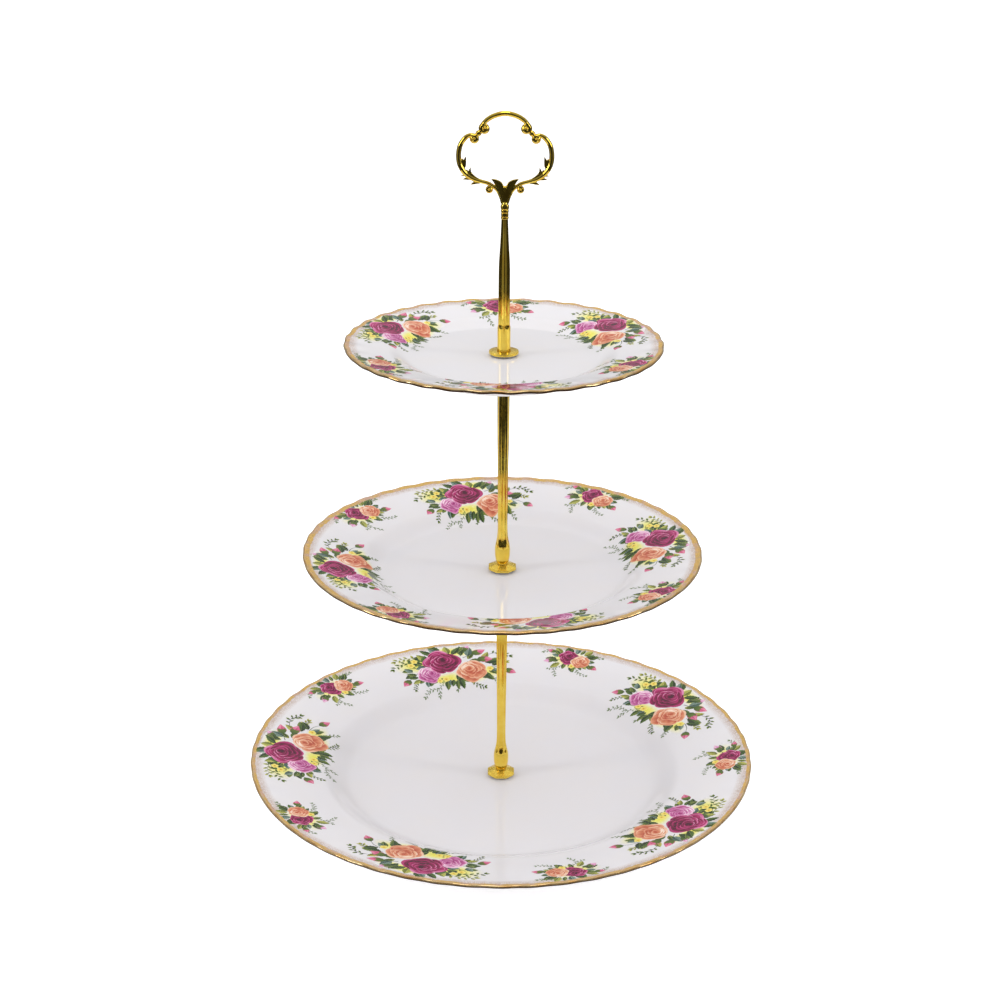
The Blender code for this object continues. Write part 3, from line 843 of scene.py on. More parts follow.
def large_bouquet():
    """A deep pink, a peach and a pale pink rose among leaves, with loose buds at both ends."""
    bouquet = Print()
    bouquet.wash((-17.0, 7.0), 15.0, 9.5, 1)
    bouquet.wash((17.0, -7.0), 16.0, 9.5, 2)
    bouquet.wash((-3.0, -10.0), 14.0, 7.0, 3)
    bouquet.wash((6.0, 14.0), 16.0, 6.0, 4)
    for points, leaf, palette, seed in (
        (((-12.0, 11.0), (-20.0, 14.5), (-27.0, 14.0)), 3.2, LEAF_OLIVE, 5),
        (((-15.0, 8.0), (-23.0, 10.5), (-31.0, 8.0)), 3.0, LEAF_GREEN, 6),
        (((-6.0, -12.0), (-12.0, -17.0), (-19.0, -17.0), (-24.0, -20.5)), 2.2, SPRIG, 7),
        (((-12.0, -16.5), (-13.5, -21.5)), 2.1, SPRIG, 8),
        (((20.0, -9.0), (26.0, -12.0), (30.0, -16.0)), 2.4, SPRIG, 9),
        (((24.0, 10.0), (31.0, 12.0), (36.0, 9.0)), 3.0, LEAF_GREEN, 10),
        (((3.0, -12.0), (1.0, -19.0)), 2.3, SPRIG, 11),
        (((22.0, 2.0), (29.0, 4.0), (34.0, 3.0)), 3.0, LEAF_OLIVE, 12),
        (((-18.0, -6.0), (-25.0, -10.0), (-28.0, -14.0)), 2.4, LEAF_GREEN, 13),
        (((12.0, -12.0), (15.0, -17.0), (20.0, -19.0)), 2.4, LEAF_GREEN, 14),
    ):
        bouquet.sprig(points, leaf, palette, seed)
    bouquet.foliage((1.0, 4.0), (19.0, 12.5), (-25, 205), 20, (6.0, 9.5), 31)
    bouquet.foliage((14.0, -2.0), (15.0, 11.0), (-150, 60), 16, (6.0, 9.0), 32)
    bouquet.foliage((-13.0, -1.0), (12.0, 10.0), (80, 290), 14, (5.5, 8.5), 33)
    bouquet.foliage((1.0, -5.0), (14.0, 9.0), (190, 330), 12, (5.0, 8.0), 34)
    for x, y, size in (
        (-4.5, -10.0, 2.4),
        (-9.0, -10.5, 2.1),
        (25.0, -3.0, 2.2),
        (-20.5, 7.5, 2.2),
        (-17.5, 10.5, 2.0),
    ):
        bouquet.blossom(x, y, size)
    bouquet.bud(16.0, 11.0, math.radians(28), 8.0, BUD, [(10.0, 8.0), (13.0, 9.5)])
    bouquet.bud(18.5, 6.0, math.radians(-2), 8.5, BUD, [(12.0, 4.0), (15.0, 5.0)])
    bouquet.bud(12.0, 15.0, math.radians(62), 5.0, PINK, [(9.0, 10.0), (11.0, 13.0)])
    bouquet.bud(-27.0, -5.0, math.radians(210), 7.5, BUD, [(-18.0, 0.0), (-23.0, -2.0)])
    bouquet.bud(34.5, -4.0, math.radians(-25), 7.5, BUD, [(26.0, -1.0), (30.5, -1.8)])
    bouquet.rose(-13.0, -3.5, 7.2, PINK, math.radians(40), 41)
    bouquet.rose(-3.0, 6.0, 10.6, MAGENTA, math.radians(70), 42)
    bouquet.rose(13.5, -4.5, 9.6, PEACH, math.radians(120), 43)
    return bouquet


def small_bouquet():
    """Two small roses and a bud, leaves and loose sprigs."""
    bouquet = Print()
    bouquet.wash((0.0, -1.0), 13.0, 8.0, 51)
    for points, leaf, seed in (
        (((-6.0, 2.0), (-11.0, 5.0), (-14.5, 3.5)), 1.9, 52),
        (((7.0, 3.0), (11.0, 5.5), (15.0, 5.0)), 1.9, 53),
        (((-2.0, -5.0), (-6.0, -10.0), (-4.5, -14.5)), 1.7, 54),
        (((5.0, -6.0), (8.0, -10.0), (13.0, -11.0)), 1.7, 55),
        (((-5.0, -8.0), (-9.5, -10.0)), 1.6, 56),
    ):
        bouquet.sprig(points, leaf, SPRIG, seed)
    bouquet.foliage((1.0, 0.0), (11.0, 6.5), (0, 360), 24, (4.0, 6.5), 57)
    bouquet.bud(-8.5, -2.5, math.radians(200), 5.5, PINK, [(-4.0, -1.0), (-6.5, -2.0)])
    bouquet.bud(12.0, -3.0, math.radians(-20), 5.2, BUD, [(8.0, -2.0), (10.0, -2.5)])
    bouquet.bud(-9.0, 4.0, math.radians(160), 4.5, BUD, [(-4.0, 3.0), (-7.0, 4.0)])
    bouquet.blossom(2.5, -5.6, 1.8)
    bouquet.rose(-1.6, 1.2, 5.4, MAGENTA, math.radians(80), 58)
    bouquet.rose(6.0, -1.2, 4.6, PEACH, math.radians(120), 59)
    return bouquet


# For each plate and bouquet: (how many, first azimuth in degrees, radius of its middle in mm, scale)
PRINTS = {
    "large_plate": {"large": (5, 34.4, 112.0, 1.00), "small": (5, 70.4, 123.0, 1.15)},
    "middle_plate": {"large": (4, 13.1, 81.7, 0.90), "small": (4, 57.0, 93.0, 1.18)},
    "small_plate": {"large": (3, 32.2, 61.7, 0.84), "small": (3, 92.5, 69.0, 1.22)},
}


def make_print(plate, name, design, layout, material):
    """Lays copies of a bouquet on a plate's surface as one film, cut off where the gilded edge starts."""
    flat, faces, paint = design
    repeats, first, middle, scale = layout
    points, normals, triangles, colours = [], [], [], []
    count = 0
    for index in range(repeats):
        azimuth = math.radians(first + 360.0 * index / repeats)
        radius = MM * (middle + scale * flat[:, 1])
        angle = azimuth - scale * flat[:, 0] / middle
        placed, upright = plate.surface(radius, angle, PRINT_LIFT)
        within = (radius[faces] < plate.radius - LIP_GILDING).all(axis=1)
        used, renumbered = np.unique(faces[within], return_inverse=True)
        points.append(placed[used])
        normals.append(upright[used])
        triangles.append(renumbered.reshape(-1, 3) + count)
        colours.append(paint[within])
        count += len(used)
    mesh = bpy.data.meshes.new(name)
    mesh.from_pydata(np.vstack(points).tolist(), [], np.vstack(triangles).tolist())
    mesh.shade_smooth()
    layer = mesh.color_attributes.new(PAINT, "FLOAT_COLOR", "CORNER")
    tones = np.ones((3 * sum(len(part) for part in triangles), 4), np.float32)
    tones[:, :3] = np.vstack(colours).reshape(-1, 3)
    layer.data.foreach_set("color", tones.ravel())
    mesh.normals_split_custom_set_from_vertices(np.vstack(normals).tolist())
    finish_piece(add_piece(name, mesh), plate.body, "porcelain", material)


# ---------------------------------------------------------------- rods, stem, collar and flanges
# Height above the foot and radius, in millimetres, as in the CAD, which is plain where these are fluted.
ROD_FOOT = ((0.0, 2.85), (0.7, 2.90), (1.6, 3.40), (4.0, 3.85), (7.0, 4.00), (9.6, 3.85), (12.6, 3.22))
ROD_SHAFT = ((15.6, 2.76), (21.0, 2.52), (35.0, 2.55), (56.0, 2.78), (73.0, 3.03), (90.0, 3.10))
ROD_OUTLINE = (*ROD_FOOT, *ROD_SHAFT)
STEM_OUTLINE = (
    (0.0, 3.60),
    (1.0, 3.30),
    (13.0, 3.30),
    (26.0, 3.25),
    (35.0, 3.25),
    (44.0, 3.12),
    (56.0, 2.35),
    (66.6, 1.88),
)
FLUTE_WIDTH = 0.94  # of the pitch between two flutes
ROD_FLUTES = {"count": 8, "turn": 0.0, "depth": 0.38 * MM, "start": 10.5 * MM, "rounding": 4.0 * MM}
UPPER_ROD_FLUTES = {**ROD_FLUTES, "turn": 0.5}  # half a flute round
STEM_FLUTES = {"count": 6, "turn": 0.0, "depth": 0.52 * MM, "start": 11.8 * MM, "rounding": 2.0 * MM}
SECTION_COLUMNS = 144
ROW_SPACING = 0.4  # in millimetres, along a section
BORE_CHAMFER = 0.2 * MM
PIN_HOLE = 1.1 * MM
# The radius and depth of the bores in the sections' ends
SHORT_BORE = (2.0 * MM, 8.475 * MM)
LONG_BORE = (2.0 * MM, 10.1 * MM)
PIN_BORE = (PIN_HOLE, 3.7 * MM)
# Body, node, outline, flutes, and the bores in the foot and in the top
SECTIONS = (
    ("lower_rod", "lower_rod", ROD_OUTLINE, ROD_FLUTES, (SHORT_BORE, SHORT_BORE)),
    ("upper_rod", "upper_rod", ROD_OUTLINE, UPPER_ROD_FLUTES, (LONG_BORE, SHORT_BORE)),
    ("handle", "handle_stem", STEM_OUTLINE, STEM_FLUTES, (LONG_BORE, PIN_BORE)),
)
THREAD_ROOT = 1.62 * MM
THREAD_CREST = 1.92 * MM
THREAD_PITCH = 0.7 * MM
THREAD_TIP = 0.7 * THREAD_ROOT  # the radius of a threaded end
STUD_CHAMFER = 0.5 * MM
SCREW_TIP = 0.4 * MM  # how far the screw's pointed end runs
HEAD_HEIGHT = 1.5 * MM
HEAD_DOME = 0.9 * MM
HEAD_CHAMFER = 0.1 * MM
RECESS_BAR = (5.2 * MM, 1.2 * MM, 2.0 * MM)
FLANGE_RIM = 1.3 * MM  # its thickness there
FLANGE_SOFT = 0.18 * MM  # how far its edges are softened
FLANGE_HOLE = 2.1 * MM
FLANGE_TOP = 3.6 * MM
COLLAR_GROOVE = 1.60 * MM
COLLAR_BEADS = ((0.15, 1.95), (0.28, 1.85), (0.22, 1.95), (0.35, 2.10))  # share of the height, radius in mm


def fluting(foot, flutes):
    """A form for lathe: hollow flutes that start with a rounded end some way above the foot."""
    pitch = TURN / flutes["count"]
    full_depth = foot + flutes["start"] + flutes["rounding"]

    def form(radius, height, angle):
        across = ((angle / pitch + 0.5 + flutes["turn"]) % 1.0 - 0.5) / (0.5 * FLUTE_WIDTH)
        below = np.maximum(0.0, (full_depth - height) / flutes["rounding"])
        hollow = np.clip(1.0 - across**2 - below**2, 0.0, 1.0)
        return radius - flutes["depth"] * hollow, height

    return form


def make_section(body, node, outline, flutes, bores, material):
    """A turned and fluted section of the handle, with a blind bore in each end."""
    low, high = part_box(node)
    length = high.z - low.z
    knots = [knot for knot in outline if knot[0] * MM < length - 1e-5]
    knots.append((length / MM, outline[-1][1]))
    outside = close_rows(smooth_path(knots, 8), ROW_SPACING)
    (foot_radius, foot_depth), (top_radius, top_depth) = bores
    section = [(0.0, low.z + foot_depth), (foot_radius, low.z + foot_depth)]
    section += [(foot_radius, low.z + BORE_CHAMFER), (foot_radius + BORE_CHAMFER, low.z)]
    fluted = slice(len(section), len(section) + len(outside))
    section += [(radius * MM, low.z + height * MM) for height, radius in outside]
    section += [(top_radius + BORE_CHAMFER, high.z), (top_radius, high.z - BORE_CHAMFER)]
    section += [(top_radius, high.z - top_depth), (0.0, high.z - top_depth)]
    piece = lathe(f"{node}_fluted", section, SECTION_COLUMNS, fluting(low.z, flutes), fluted)
    finish_piece(piece, body, "gilt", material, node)


def thread(radius, height, angle):
    """A form for lathe: a right-handed thread."""
    place = (height - THREAD_PITCH * angle / TURN) / THREAD_PITCH
    ridge = 1.0 - np.abs(2.0 * (place % 1.0) - 1.0)
    return radius + (THREAD_CREST - THREAD_ROOT) * ridge, height


def threaded_rows(start, end):
    return [(THREAD_ROOT, height) for height in np.arange(start, end, THREAD_PITCH / 6)]


def make_stud(body, node, material):
    """A threaded stud, chamfered at both ends."""
    low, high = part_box(node)
    rows = threaded_rows(low.z + STUD_CHAMFER, high.z - STUD_CHAMFER)
    section = [(0.0, low.z), (THREAD_TIP, low.z), *rows, (THREAD_TIP, high.z), (0.0, high.z)]
    piece = lathe(f"{node}_threaded", section, 36, thread, slice(2, 2 + len(rows)))
    finish_piece(piece, body, "steel", material, node)


def cross_cutter(low):
    """Two crossed bars that cut the driver's recess in the screw's head."""
    shape = bmesh.new()
    for turn in (0.0, math.pi / 2):
        size = Matrix.Diagonal((*RECESS_BAR, 1.0))
        place = Matrix.Translation((0.0, 0.0, low)) @ Matrix.Rotation(turn, 4, "Z") @ size
        bmesh.ops.create_cube(shape, size=1.0, matrix=place)
    return add_shape("recess", shape)


def make_base_screw(material):
    """The screw that holds the large plate, with a domed head and a cross recess."""
    low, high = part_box("base_screw")
    radius = high.x
    seat = low.z + HEAD_HEIGHT
    section = [
        (radius * math.sin(turn), low.z + HEAD_DOME * (1.0 - math.cos(turn)))
        for turn in np.linspace(0.0, math.pi / 2, 9)
    ]
    section += [(radius, seat - HEAD_CHAMFER), (radius - HEAD_CHAMFER, seat)]
    rows = threaded_rows(seat, high.z - SCREW_TIP)
    threaded = slice(len(section), len(section) + len(rows))
    section += rows + [(THREAD_TIP, high.z), (0.0, high.z)]
    piece = lathe("base_screw_threaded", section, 48, thread, threaded)
    cutter = cross_cutter(low.z)
    cut = piece.modifiers.new("recess", "BOOLEAN")
    cut.operation = "DIFFERENCE"
    cut.use_self = True  # the two bars cross
    cut.object = cutter
    baked(piece)
    bpy.data.objects.remove(cutter, do_unlink=True)
    shade(piece.data)
    finish_piece(piece, "base", "steel", material, "base_screw")


def octagon(radius, height, angle):
    """A form for lathe: eight flat sides with slightly softened corners."""
    pitch = TURN / 8
    off = (angle + pitch / 2) % pitch
    return radius * np.minimum(math.cos(pitch / 2) / np.cos(off - pitch / 2), 0.99), height


def make_flange(node, material, form=None):
    """A thin rim that slopes up to the rod, with softened edges."""
    low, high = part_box(node)
    outer, rim, soft = high.x, low.z + FLANGE_RIM, FLANGE_SOFT
    section = [(FLANGE_HOLE, low.z), (outer - soft, low.z), (outer, low.z + soft), (outer, rim - soft)]
    section += [(outer - 0.3 * soft, rim - 0.3 * soft), (outer - soft, rim)]
    if high.z > rim + soft:
        section += [(FLANGE_TOP + soft, high.z - 0.4 * soft), (FLANGE_TOP, high.z)]
    section.append((FLANGE_HOLE, high.z))
    piece = lathe(f"{node}_polished", section, 8 * 9, form, slice(1, -1), looped=True)
    finish_piece(piece, node, "gilt", material, node)


def make_collar(material):
    """Four turned beads between the stem and the ring."""
    low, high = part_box("handle_collar")
    section = [(PIN_HOLE, low.z), (COLLAR_GROOVE, low.z)]
    foot = low.z
    for share, radius in COLLAR_BEADS:
        height = share * (high.z - low.z)
        for turn in np.linspace(0.0, math.pi, 9)[1:]:
            bulge = (radius * MM - COLLAR_GROOVE) * math.sin(turn) ** 0.6
            section.append((COLLAR_GROOVE + bulge, foot + height * 0.5 * (1.0 - math.cos(turn))))
        foot += height
    section.append((PIN_HOLE, high.z))
    piece = lathe("handle_collar_beads", section, 48, looped=True)
    finish_piece(piece, "handle", "gilt", material, "handle_collar")


# ---------------------------------------------------------------- the ring, in millimetres above its foot
RING_VOXEL = 0.15 * MM
RING_SMOOTHING = 3
TOP_BAR = ((-5.2, 42.8), (0.0, 43.9), (5.2, 42.8), (9.0, 40.6))
LOW_ARM = ((1.45, 0.2), (1.9, 2.1), (2.55, 4.2), (4.2, 7.2), (7.6, 9.8), (11.7, 11.0), (15.4, 12.2))
HIGH_ARM = ((18.7, 14.3), (20.9, 17.0), (22.2, 20.3), (22.5, 24.3), (21.6, 28.7), (19.2, 32.1), (16.9, 33.4))
ARM_WIDTHS = (0.50, 0.58, 0.70, 0.80, 0.90, 0.95, 1.10, 1.20, 1.25, 1.25, 1.22, 1.20, 1.15, 1.0)
# Each bar: its knots, the half-widths there, and the scroll that it winds up into, which is given by
# its centre, its outer radius, the angle where the bar reaches it and how far it winds, in degrees.
BARS = (
    (TOP_BAR, (0.9, 1.22, 1.2, 1.15), ((10.1, 36.5), 2.95, 40.0, -420.0)),
    ((*LOW_ARM, *HIGH_ARM), ARM_WIDTHS, ((14.9, 31.6), 2.60, 85.0, 420.0)),
    (((4.6, 8.6), (6.3, 8.9)), (0.60, 0.65), ((7.6, 6.9), 2.05, 70.0, -420.0)),
)
SCROLL_BAR = (0.34, 0.15)  # of the scroll's radius, the winding bar's half-width at both ends
SCROLL_DEPTH = (0.52, 0.86)  # and its half-depth
BOSS = (0.88, 0.64)  # of the scroll's radius, the radius and half-depth of the boss that it winds on
# Leaves: points from root to tip, width at the middle
RING_LEAVES = (
    (((20.9, 16.4), (20.0, 18.6), (19.6, 20.8), (18.9, 23.2)), 1.05),
    (((21.5, 18.0), (20.9, 20.5), (20.6, 22.3)), 0.70),
    (((13.0, 11.6), (15.6, 13.0), (17.1, 15.2), (16.7, 17.9)), 1.15),
    (((15.6, 12.6), (17.7, 14.6), (18.6, 16.9)), 0.75),
    (((14.5, 11.9), (17.2, 12.5), (20.6, 11.9)), 0.95),
    (((11.2, 10.9), (13.8, 10.6), (16.9, 9.3)), 0.95),
    (((16.2, 13.0), (18.4, 13.8), (21.6, 13.7)), 0.60),
)
SIDE_BALL = ((12.9, 34.3), 1.45, 1.5)  # its centre, radius and half-depth
CROWN_BALL = ((0.0, 7.2), 1.7, 0.75)
STALK_HEIGHT = 1.2
STALK_RADII = (1.65, 0.9)  # at its foot and top
CROWN_PATH = ((0.5, -0.1), (0.7, 2.0), (1.05, 4.2), (1.75, 7.0), (3.0, 9.5), (4.8, 11.1), (6.7, 12.2))
CROWN_WIDTH = (0.70, 0.85, 1.15, 1.70, 1.80, 1.05, 0.10)
CROWN_THICKNESS = (1.75, 1.65, 1.60, 1.50, 1.35, 0.90, 0.30)


def round_section(turns):
    """A bar's section: round, with a faint ridge along its face."""
    swell = 1.0 + 0.05 * np.cos(4.0 * turns)
    return swell * np.cos(turns), swell * np.sin(turns)


def channel_section(turns):
    """A leaf's section: raised along both edges and hollow down its middle."""
    across = np.cos(turns)
    thick = 0.45 + 0.55 * across**2
    return across, thick * np.sign(np.sin(turns)) * np.abs(np.sin(turns)) ** 0.5


def sweep(shape, path, widths, depths, section, side, foot):
    """Adds to `shape` a section swept along a path in the ring's plane, closed at both ends."""
    path = np.array(path, float)
    turns = np.linspace(0.0, TURN, 20, endpoint=False)
    across, out = section(turns)
    rings = []
    for (x, z), (along_x, along_z), width, depth in zip(path, directions(path), widths, depths):
        ring = (x - along_z * width * across, depth * out, z + along_x * width * across)
        rings.append(np.column_stack(ring))
    rings.insert(0, rings[0].mean(axis=0)[None])
    rings.append(rings[-1].mean(axis=0)[None])
    points, faces = skin_faces(rings)
    points = points * MM * (side, 1.0, 1.0) + (0.0, 0.0, foot)
    vertices = [shape.verts.new(point) for point in points]
    for face in faces:
        shape.faces.new([vertices[corner] for corner in face])


def swell(path, knots):
    """A value along a path from its knots, as smooth as the path."""
    return np.interp(np.linspace(0.0, 1.0, len(path)), np.linspace(0.0, 1.0, len(knots)), knots)


def scroll_path(centre, radius, first, turn):
    """The middle line of a scroll's winding bar, from the outside in."""
    shares = np.linspace(0.0, 1.0, 40)
    angles = np.radians(first + turn * shares)
    radii = radius * ((1.0 - SCROLL_BAR[0]) * (1.0 - shares) + SCROLL_BAR[1] * shares)
    return np.column_stack((centre[0] + radii * np.cos(angles), centre[1] + radii * np.sin(angles)))


def add_bar(shape, knots, widths, scroll, side, foot):
    """A round bar that winds up into a scroll on a low boss."""
    centre, radius = scroll[:2]
    winding = scroll_path(*scroll)
    run = smooth_path([*knots, winding[0]], 8)[:-1]
    across, deep = (
        np.append(swell(run, (*widths, ends[0] * radius)), radius * np.linspace(*ends, len(winding)))
        for ends in (SCROLL_BAR, SCROLL_DEPTH)
    )
    sweep(shape, np.vstack([run, winding]), across, deep, round_section, side, foot)
    add_ball(shape, centre, BOSS[0] * radius, BOSS[1] * radius, side, foot)


def add_ball(shape, centre, radius, depth, side, foot):
    """A ball in the ring's plane, as deep as asked."""
    size = Matrix.Diagonal((radius * MM, depth * MM, radius * MM, 1.0))
    place = Matrix.Translation((side * centre[0] * MM, 0.0, foot + centre[1] * MM))
    bmesh.ops.create_uvsphere(shape, u_segments=24, v_segments=16, radius=1.0, matrix=place @ size)


def make_ring(material):
    """The cast ring: bars that curl into scrolls, pointed leaves and a crown of two, run together."""
    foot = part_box("handle_ring")[0].z
    shape = bmesh.new()
    for side in (-1.0, 1.0):
        for knots, widths, scroll in BARS:
            add_bar(shape, knots, widths, scroll, side, foot)
        add_ball(shape, *SIDE_BALL, side, foot)
        for points, width in RING_LEAVES:
            path = smooth_path(points, 6)
            widths = swell(path, (0.7 * width, width, 0.8 * width, 0.06))
            sweep(shape, path, widths, swell(path, (0.9, 1.1, 0.9, 0.25)), channel_section, side, foot)
        path = smooth_path(CROWN_PATH, 6)
        widths = swell(path, CROWN_WIDTH)
        sweep(shape, path, widths, swell(path, CROWN_THICKNESS), channel_section, side, foot)
    stalk = [(0.0, z) for z in np.linspace(0.0, STALK_HEIGHT, 4)]
    radii = np.linspace(*STALK_RADII, len(stalk))
    sweep(shape, stalk, radii, radii, round_section, 1.0, foot)
    add_ball(shape, *CROWN_BALL, 1.0, foot)
    bmesh.ops.recalc_face_normals(shape, faces=shape.faces)
    piece = add_shape("handle_ring_cast", shape)
    union = piece.modifiers.new("join", "REMESH")
    union.mode = "VOXEL"
    union.voxel_size = RING_VOXEL
    smooth = piece.modifiers.new("soften", "SMOOTH")
    smooth.factor = 0.5
    smooth.iterations = RING_SMOOTHING
    baked(piece)
    piece.data.shade_smooth()
    finish_piece(piece, "handle", "gilt", material, "handle_ring")


# ---------------------------------------------------------------- floor, lights and camera
TABLE_SIZE = (0.8, 1.1)
TABLE_MIDDLE = 0.5 * TABLE_SIZE[1] - 0.40  # its front edge is 0.4 m in front of the stand
TABLE_SHADE = (0.13, 0.22)  # between these distances from the stand its shadow fades
TABLE_LEVEL = 0.85
BACK_TABLE_PLACE = (0.0, 0.42, -2 * MM)
BACK_TABLE_SIZE = (1.1, 0.40)
SIDE_CARD_PLACE = (0.75, -0.15, 0.2)
SIDE_CARD_SIZE = (0.5, 0.45)
SIDE_CARDS = (("studio_left_card", -1.0, "808080"), ("studio_right_card", 1.0, "6A6A6A"))
BRIGHT_SIDE = (0.0, 0.5, 0.87)  # the way to the brightest part of the studio, behind and above
FLOOR_GLOW = 0.34  # keeps the floor white under the stand too
TENT_WHITE = (1.01, 1.01, 1.02, 1.0)
# What polished metal sees of the tent: from the darkest side, at 0, to the brightest, at 1
STUDIO_LEVELS = ((0.0, 0.02), (0.35, 0.03), (0.50, 0.09), (0.75, 0.24), (0.87, 0.42), (0.97, 0.75))
STAND_MIDDLE = (0.0, 0.0, 0.15)
# Name, place, size and power
LIGHTS = (
    ("overhead", (0.0, -0.3, 2.2), (0.8, 0.8), 5.0),
    ("left_box", (-1.7, -0.5, 0.9), (0.35, 1.3), 8.0),
    ("right_box", (1.7, -0.4, 0.9), (0.35, 1.3), 7.0),
)
CAMERA_PLACE = (0.0, -0.9285, 0.5372)
CAMERA_DIP = 21.56  # how far it looks down, in degrees
CAMERA_ROLL = 0.4  # in degrees
CAMERA_LENS = 69.55  # in millimetres, before a sensor 36 mm wide
CAMERA_SHIFT = -0.0028  # of the picture's width


def make_floor():
    bpy.ops.mesh.primitive_plane_add(size=40.0)
    floor = bpy.context.object
    floor.name = "studio_floor"
    shader = Shader("pale_floor")
    tone = shader.spread(shader.noise(0.4), 0.97, 1.0)
    colour = shader.mix(1.0, srgb("FBFBFB"), tone, "MULTIPLY")
    glow = {"Emission_Color": colour, "Emission_Strength": FLOOR_GLOW}
    floor.data.materials.append(shader.set(Base_Color=colour, Roughness=0.9, **glow))
    floor.visible_glossy = False


def make_reflected(name, place, turn, size, level):
    """A glowing rectangle that only polished surfaces see. `level(shader)` gives its brightness."""
    bpy.ops.mesh.primitive_plane_add(size=1.0, location=place, rotation=turn)
    card = bpy.context.object
    card.name = name
    card.scale = (*size, 1.0)
    shader = Shader(name)
    tone = shader.spread(shader.noise(0.5), 0.96, 1.0)
    glow = shader.mix(1.0, level(shader), tone, "MULTIPLY")
    shader.surface.inputs["Base Color"].default_value = (0.0, 0.0, 0.0, 1.0)
    material = shader.set(Specular_IOR_Level=0.0, Emission_Color=glow, Emission_Strength=1.0)
    card.data.materials.append(material)
    for ray in ("camera", "diffuse", "transmission", "volume_scatter", "shadow"):
        setattr(card, f"visible_{ray}", False)


def table_level(shader):
    """The table's brightness, which fades in out of the stand's shadow."""
    distance = shader.node("ShaderNodeVectorMath", operation="LENGTH")
    shader.link(shader.node("ShaderNodeNewGeometry").outputs["Position"], distance.inputs[0])
    return shader.spread(distance.outputs["Value"], 0.05, TABLE_LEVEL, *TABLE_SHADE)


def make_reflections():
    """What polished surfaces see: the table in front, the table behind, and a low card to each side."""
    make_reflected("studio_table", (0.0, TABLE_MIDDLE, -MM), (0.0, 0.0, 0.0), TABLE_SIZE, table_level)
    make_reflected("studio_back_table", BACK_TABLE_PLACE, (0.0, 0.0, 0.0), BACK_TABLE_SIZE, table_level)
    for name, side, level in SIDE_CARDS:
        place = (side * SIDE_CARD_PLACE[0], SIDE_CARD_PLACE[1], SIDE_CARD_PLACE[2])
        turn = (0.0, math.pi / 2, 0.0)
        make_reflected(name, place, turn, SIDE_CARD_SIZE, lambda shader, level=level: srgb(level))


def make_area_light(name, place, size, power):
    """A rectangular light that faces the middle of the stand."""
    data = bpy.data.lights.new(name, "AREA")
    data.shape = "RECTANGLE"
    data.size, data.size_y = size
    data.energy = power
    light = bpy.data.objects.new(name, data)
    bpy.context.scene.collection.objects.link(light)
    light.location = place
    light.rotation_euler = (Vector(STAND_MIDDLE) - Vector(place)).to_track_quat("-Z", "Y").to_euler()


def make_tent():
    """An even white tent for matt surfaces; what polished metal sees is darker in front and below."""
    world = bpy.data.worlds.new("studio")
    bpy.context.scene.world = world
    world.use_nodes = True
    tree = world.node_tree
    background = tree.nodes["Background"]
    direction = tree.nodes.new("ShaderNodeTexCoord")
    towards = tree.nodes.new("ShaderNodeVectorMath")
    towards.operation = "DOT_PRODUCT"
    towards.inputs[1].default_value = BRIGHT_SIDE
    tree.links.new(direction.outputs["Generated"], towards.inputs[0])
    seen = tree.nodes.new("ShaderNodeValToRGB")
    while len(seen.color_ramp.elements) < len(STUDIO_LEVELS):
        seen.color_ramp.elements.new(0.5)
    for element, (place, level) in zip(seen.color_ramp.elements, STUDIO_LEVELS):
        element.position = place
        element.color = (level, level, level, 1.0)
    share = tree.nodes.new("ShaderNodeMapRange")
    share.inputs["From Min"].default_value = -1.0
    share.inputs["From Max"].default_value = 1.0
    tree.links.new(towards.outputs["Value"], share.inputs["Value"])
    tree.links.new(share.outputs["Result"], seen.inputs["Fac"])
    ray = tree.nodes.new("ShaderNodeLightPath")
    blend = tree.nodes.new("ShaderNodeMix")
    blend.data_type = "RGBA"
    factor, plain, polished = (blend.inputs[index] for index in MIX_INPUTS)
    tree.links.new(ray.outputs["Is Glossy Ray"], factor)
    plain.default_value = TENT_WHITE
    tree.links.new(seen.outputs["Color"], polished)
    tree.links.new(blend.outputs[MIX_RESULT], background.inputs["Color"])
    background.inputs["Strength"].default_value = 1.0


def make_studio():
    make_tent()
    for light in LIGHTS:
        make_area_light(*light)
    bpy.context.scene.view_settings.view_transform = "Standard"


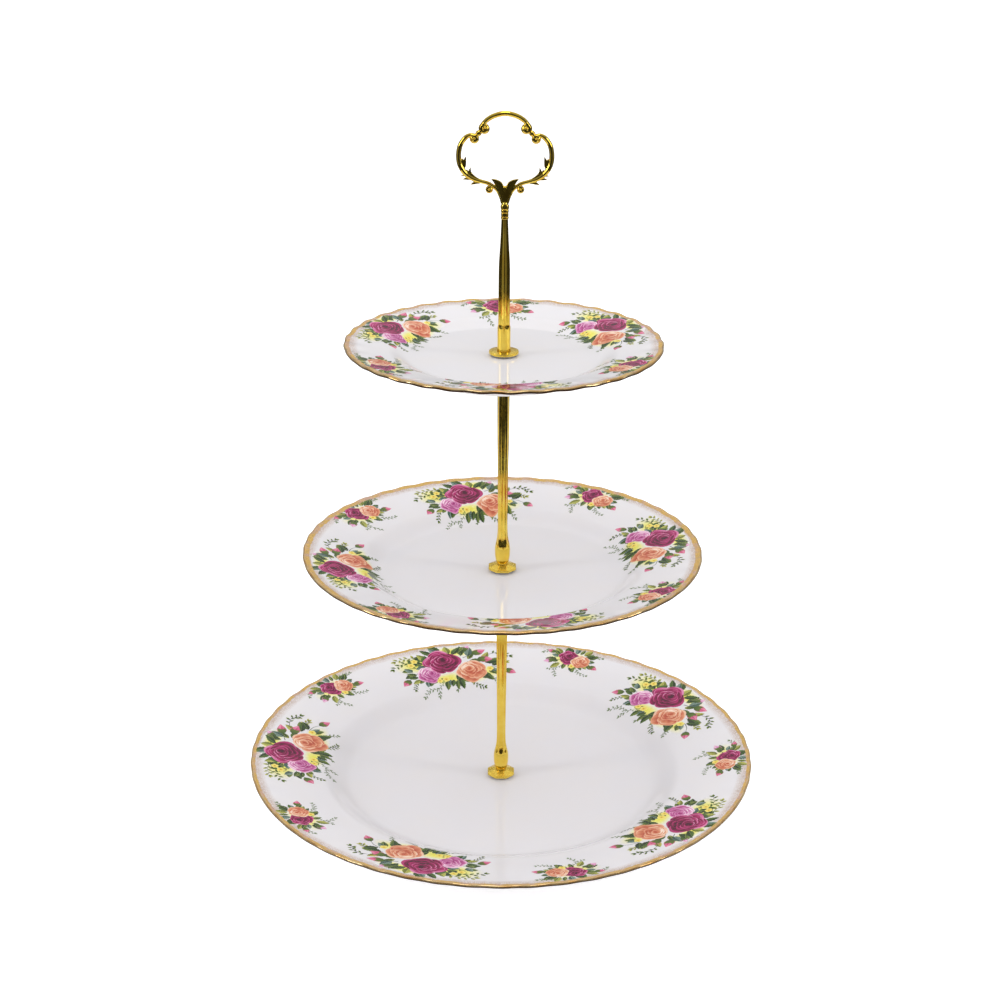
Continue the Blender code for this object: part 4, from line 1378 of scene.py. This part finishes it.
def make_camera():
    data = bpy.data.cameras.new("camera")
    data.lens = CAMERA_LENS
    data.sensor_width = 36.0
    data.shift_x = CAMERA_SHIFT
    data.clip_end = 100.0
    camera = bpy.data.objects.new("camera", data)
    bpy.context.scene.collection.objects.link(camera)
    pitch = Matrix.Rotation(math.radians(90.0 - CAMERA_DIP), 4, "X")
    roll = Matrix.Rotation(math.radians(CAMERA_ROLL), 4, "Z")
    camera.matrix_world = Matrix.Translation(CAMERA_PLACE) @ pitch @ roll
    bpy.context.scene.camera = camera


# ---------------------------------------------------------------- the stand
def make_china():
    """The plates with their gilding and their prints."""
    # the gilt edge gets painted shade under the lip
    edge = gold("gilt_edge", 120.0, (0.10, 0.18), EDGE_GOLD, metallic=0.9, painted_shade=EDGE_PAINTED_SHADE)
    band = matte_gold()
    print_material = printed()
    designs = {"large": large_bouquet().flatten(0.9), "small": small_bouquet().flatten(0.8)}
    for plate in PLATES:
        make_plate(plate)
        make_lip_gilding(plate, edge)
        make_band(plate, band)
        for kind, layout in PRINTS[plate.node].items():
            make_print(plate, f"{plate.node}_{kind}_bouquets", designs[kind], layout, print_material)


def make_metalwork():
    """The rods, the handle and the flanges in gold, the studs and the screw in steel."""
    casting = gold("gilt_casting", 180.0, (0.07, 0.15), CAST_GOLD)
    turned = gold("gilt_flange", 600.0, (0.18, 0.30), CAST_GOLD, metallic=0.85, dents=0.08 * MM)
    for section in SECTIONS:
        make_section(*section, casting)
    make_flange("lower_flange", turned, octagon)
    make_flange("upper_flange", turned, octagon)
    make_flange("handle_flange", turned)
    make_collar(casting)
    make_ring(casting)

    bright_steel = steel()
    make_stud("upper_rod", "upper_rod_stud", bright_steel)
    make_stud("handle", "handle_stud", bright_steel)
    make_base_screw(bright_steel)
    for node in ("base_cup_washer", "handle_ring_pin"):
        dress(node, bright_steel)


def dress(node, material):
    """Gives a CAD node that is seen as it is its material."""
    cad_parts[node].material_slots[0].material = material


def dress_washers():
    dress("base_rubber_washer", rubber())
    plastic = clear_plastic()
    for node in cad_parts:
        if node.endswith("_top_washer"):
            dress(node, plastic)


make_china()
make_metalwork()
dress_washers()
make_floor()
make_reflections()
make_studio()
make_camera()
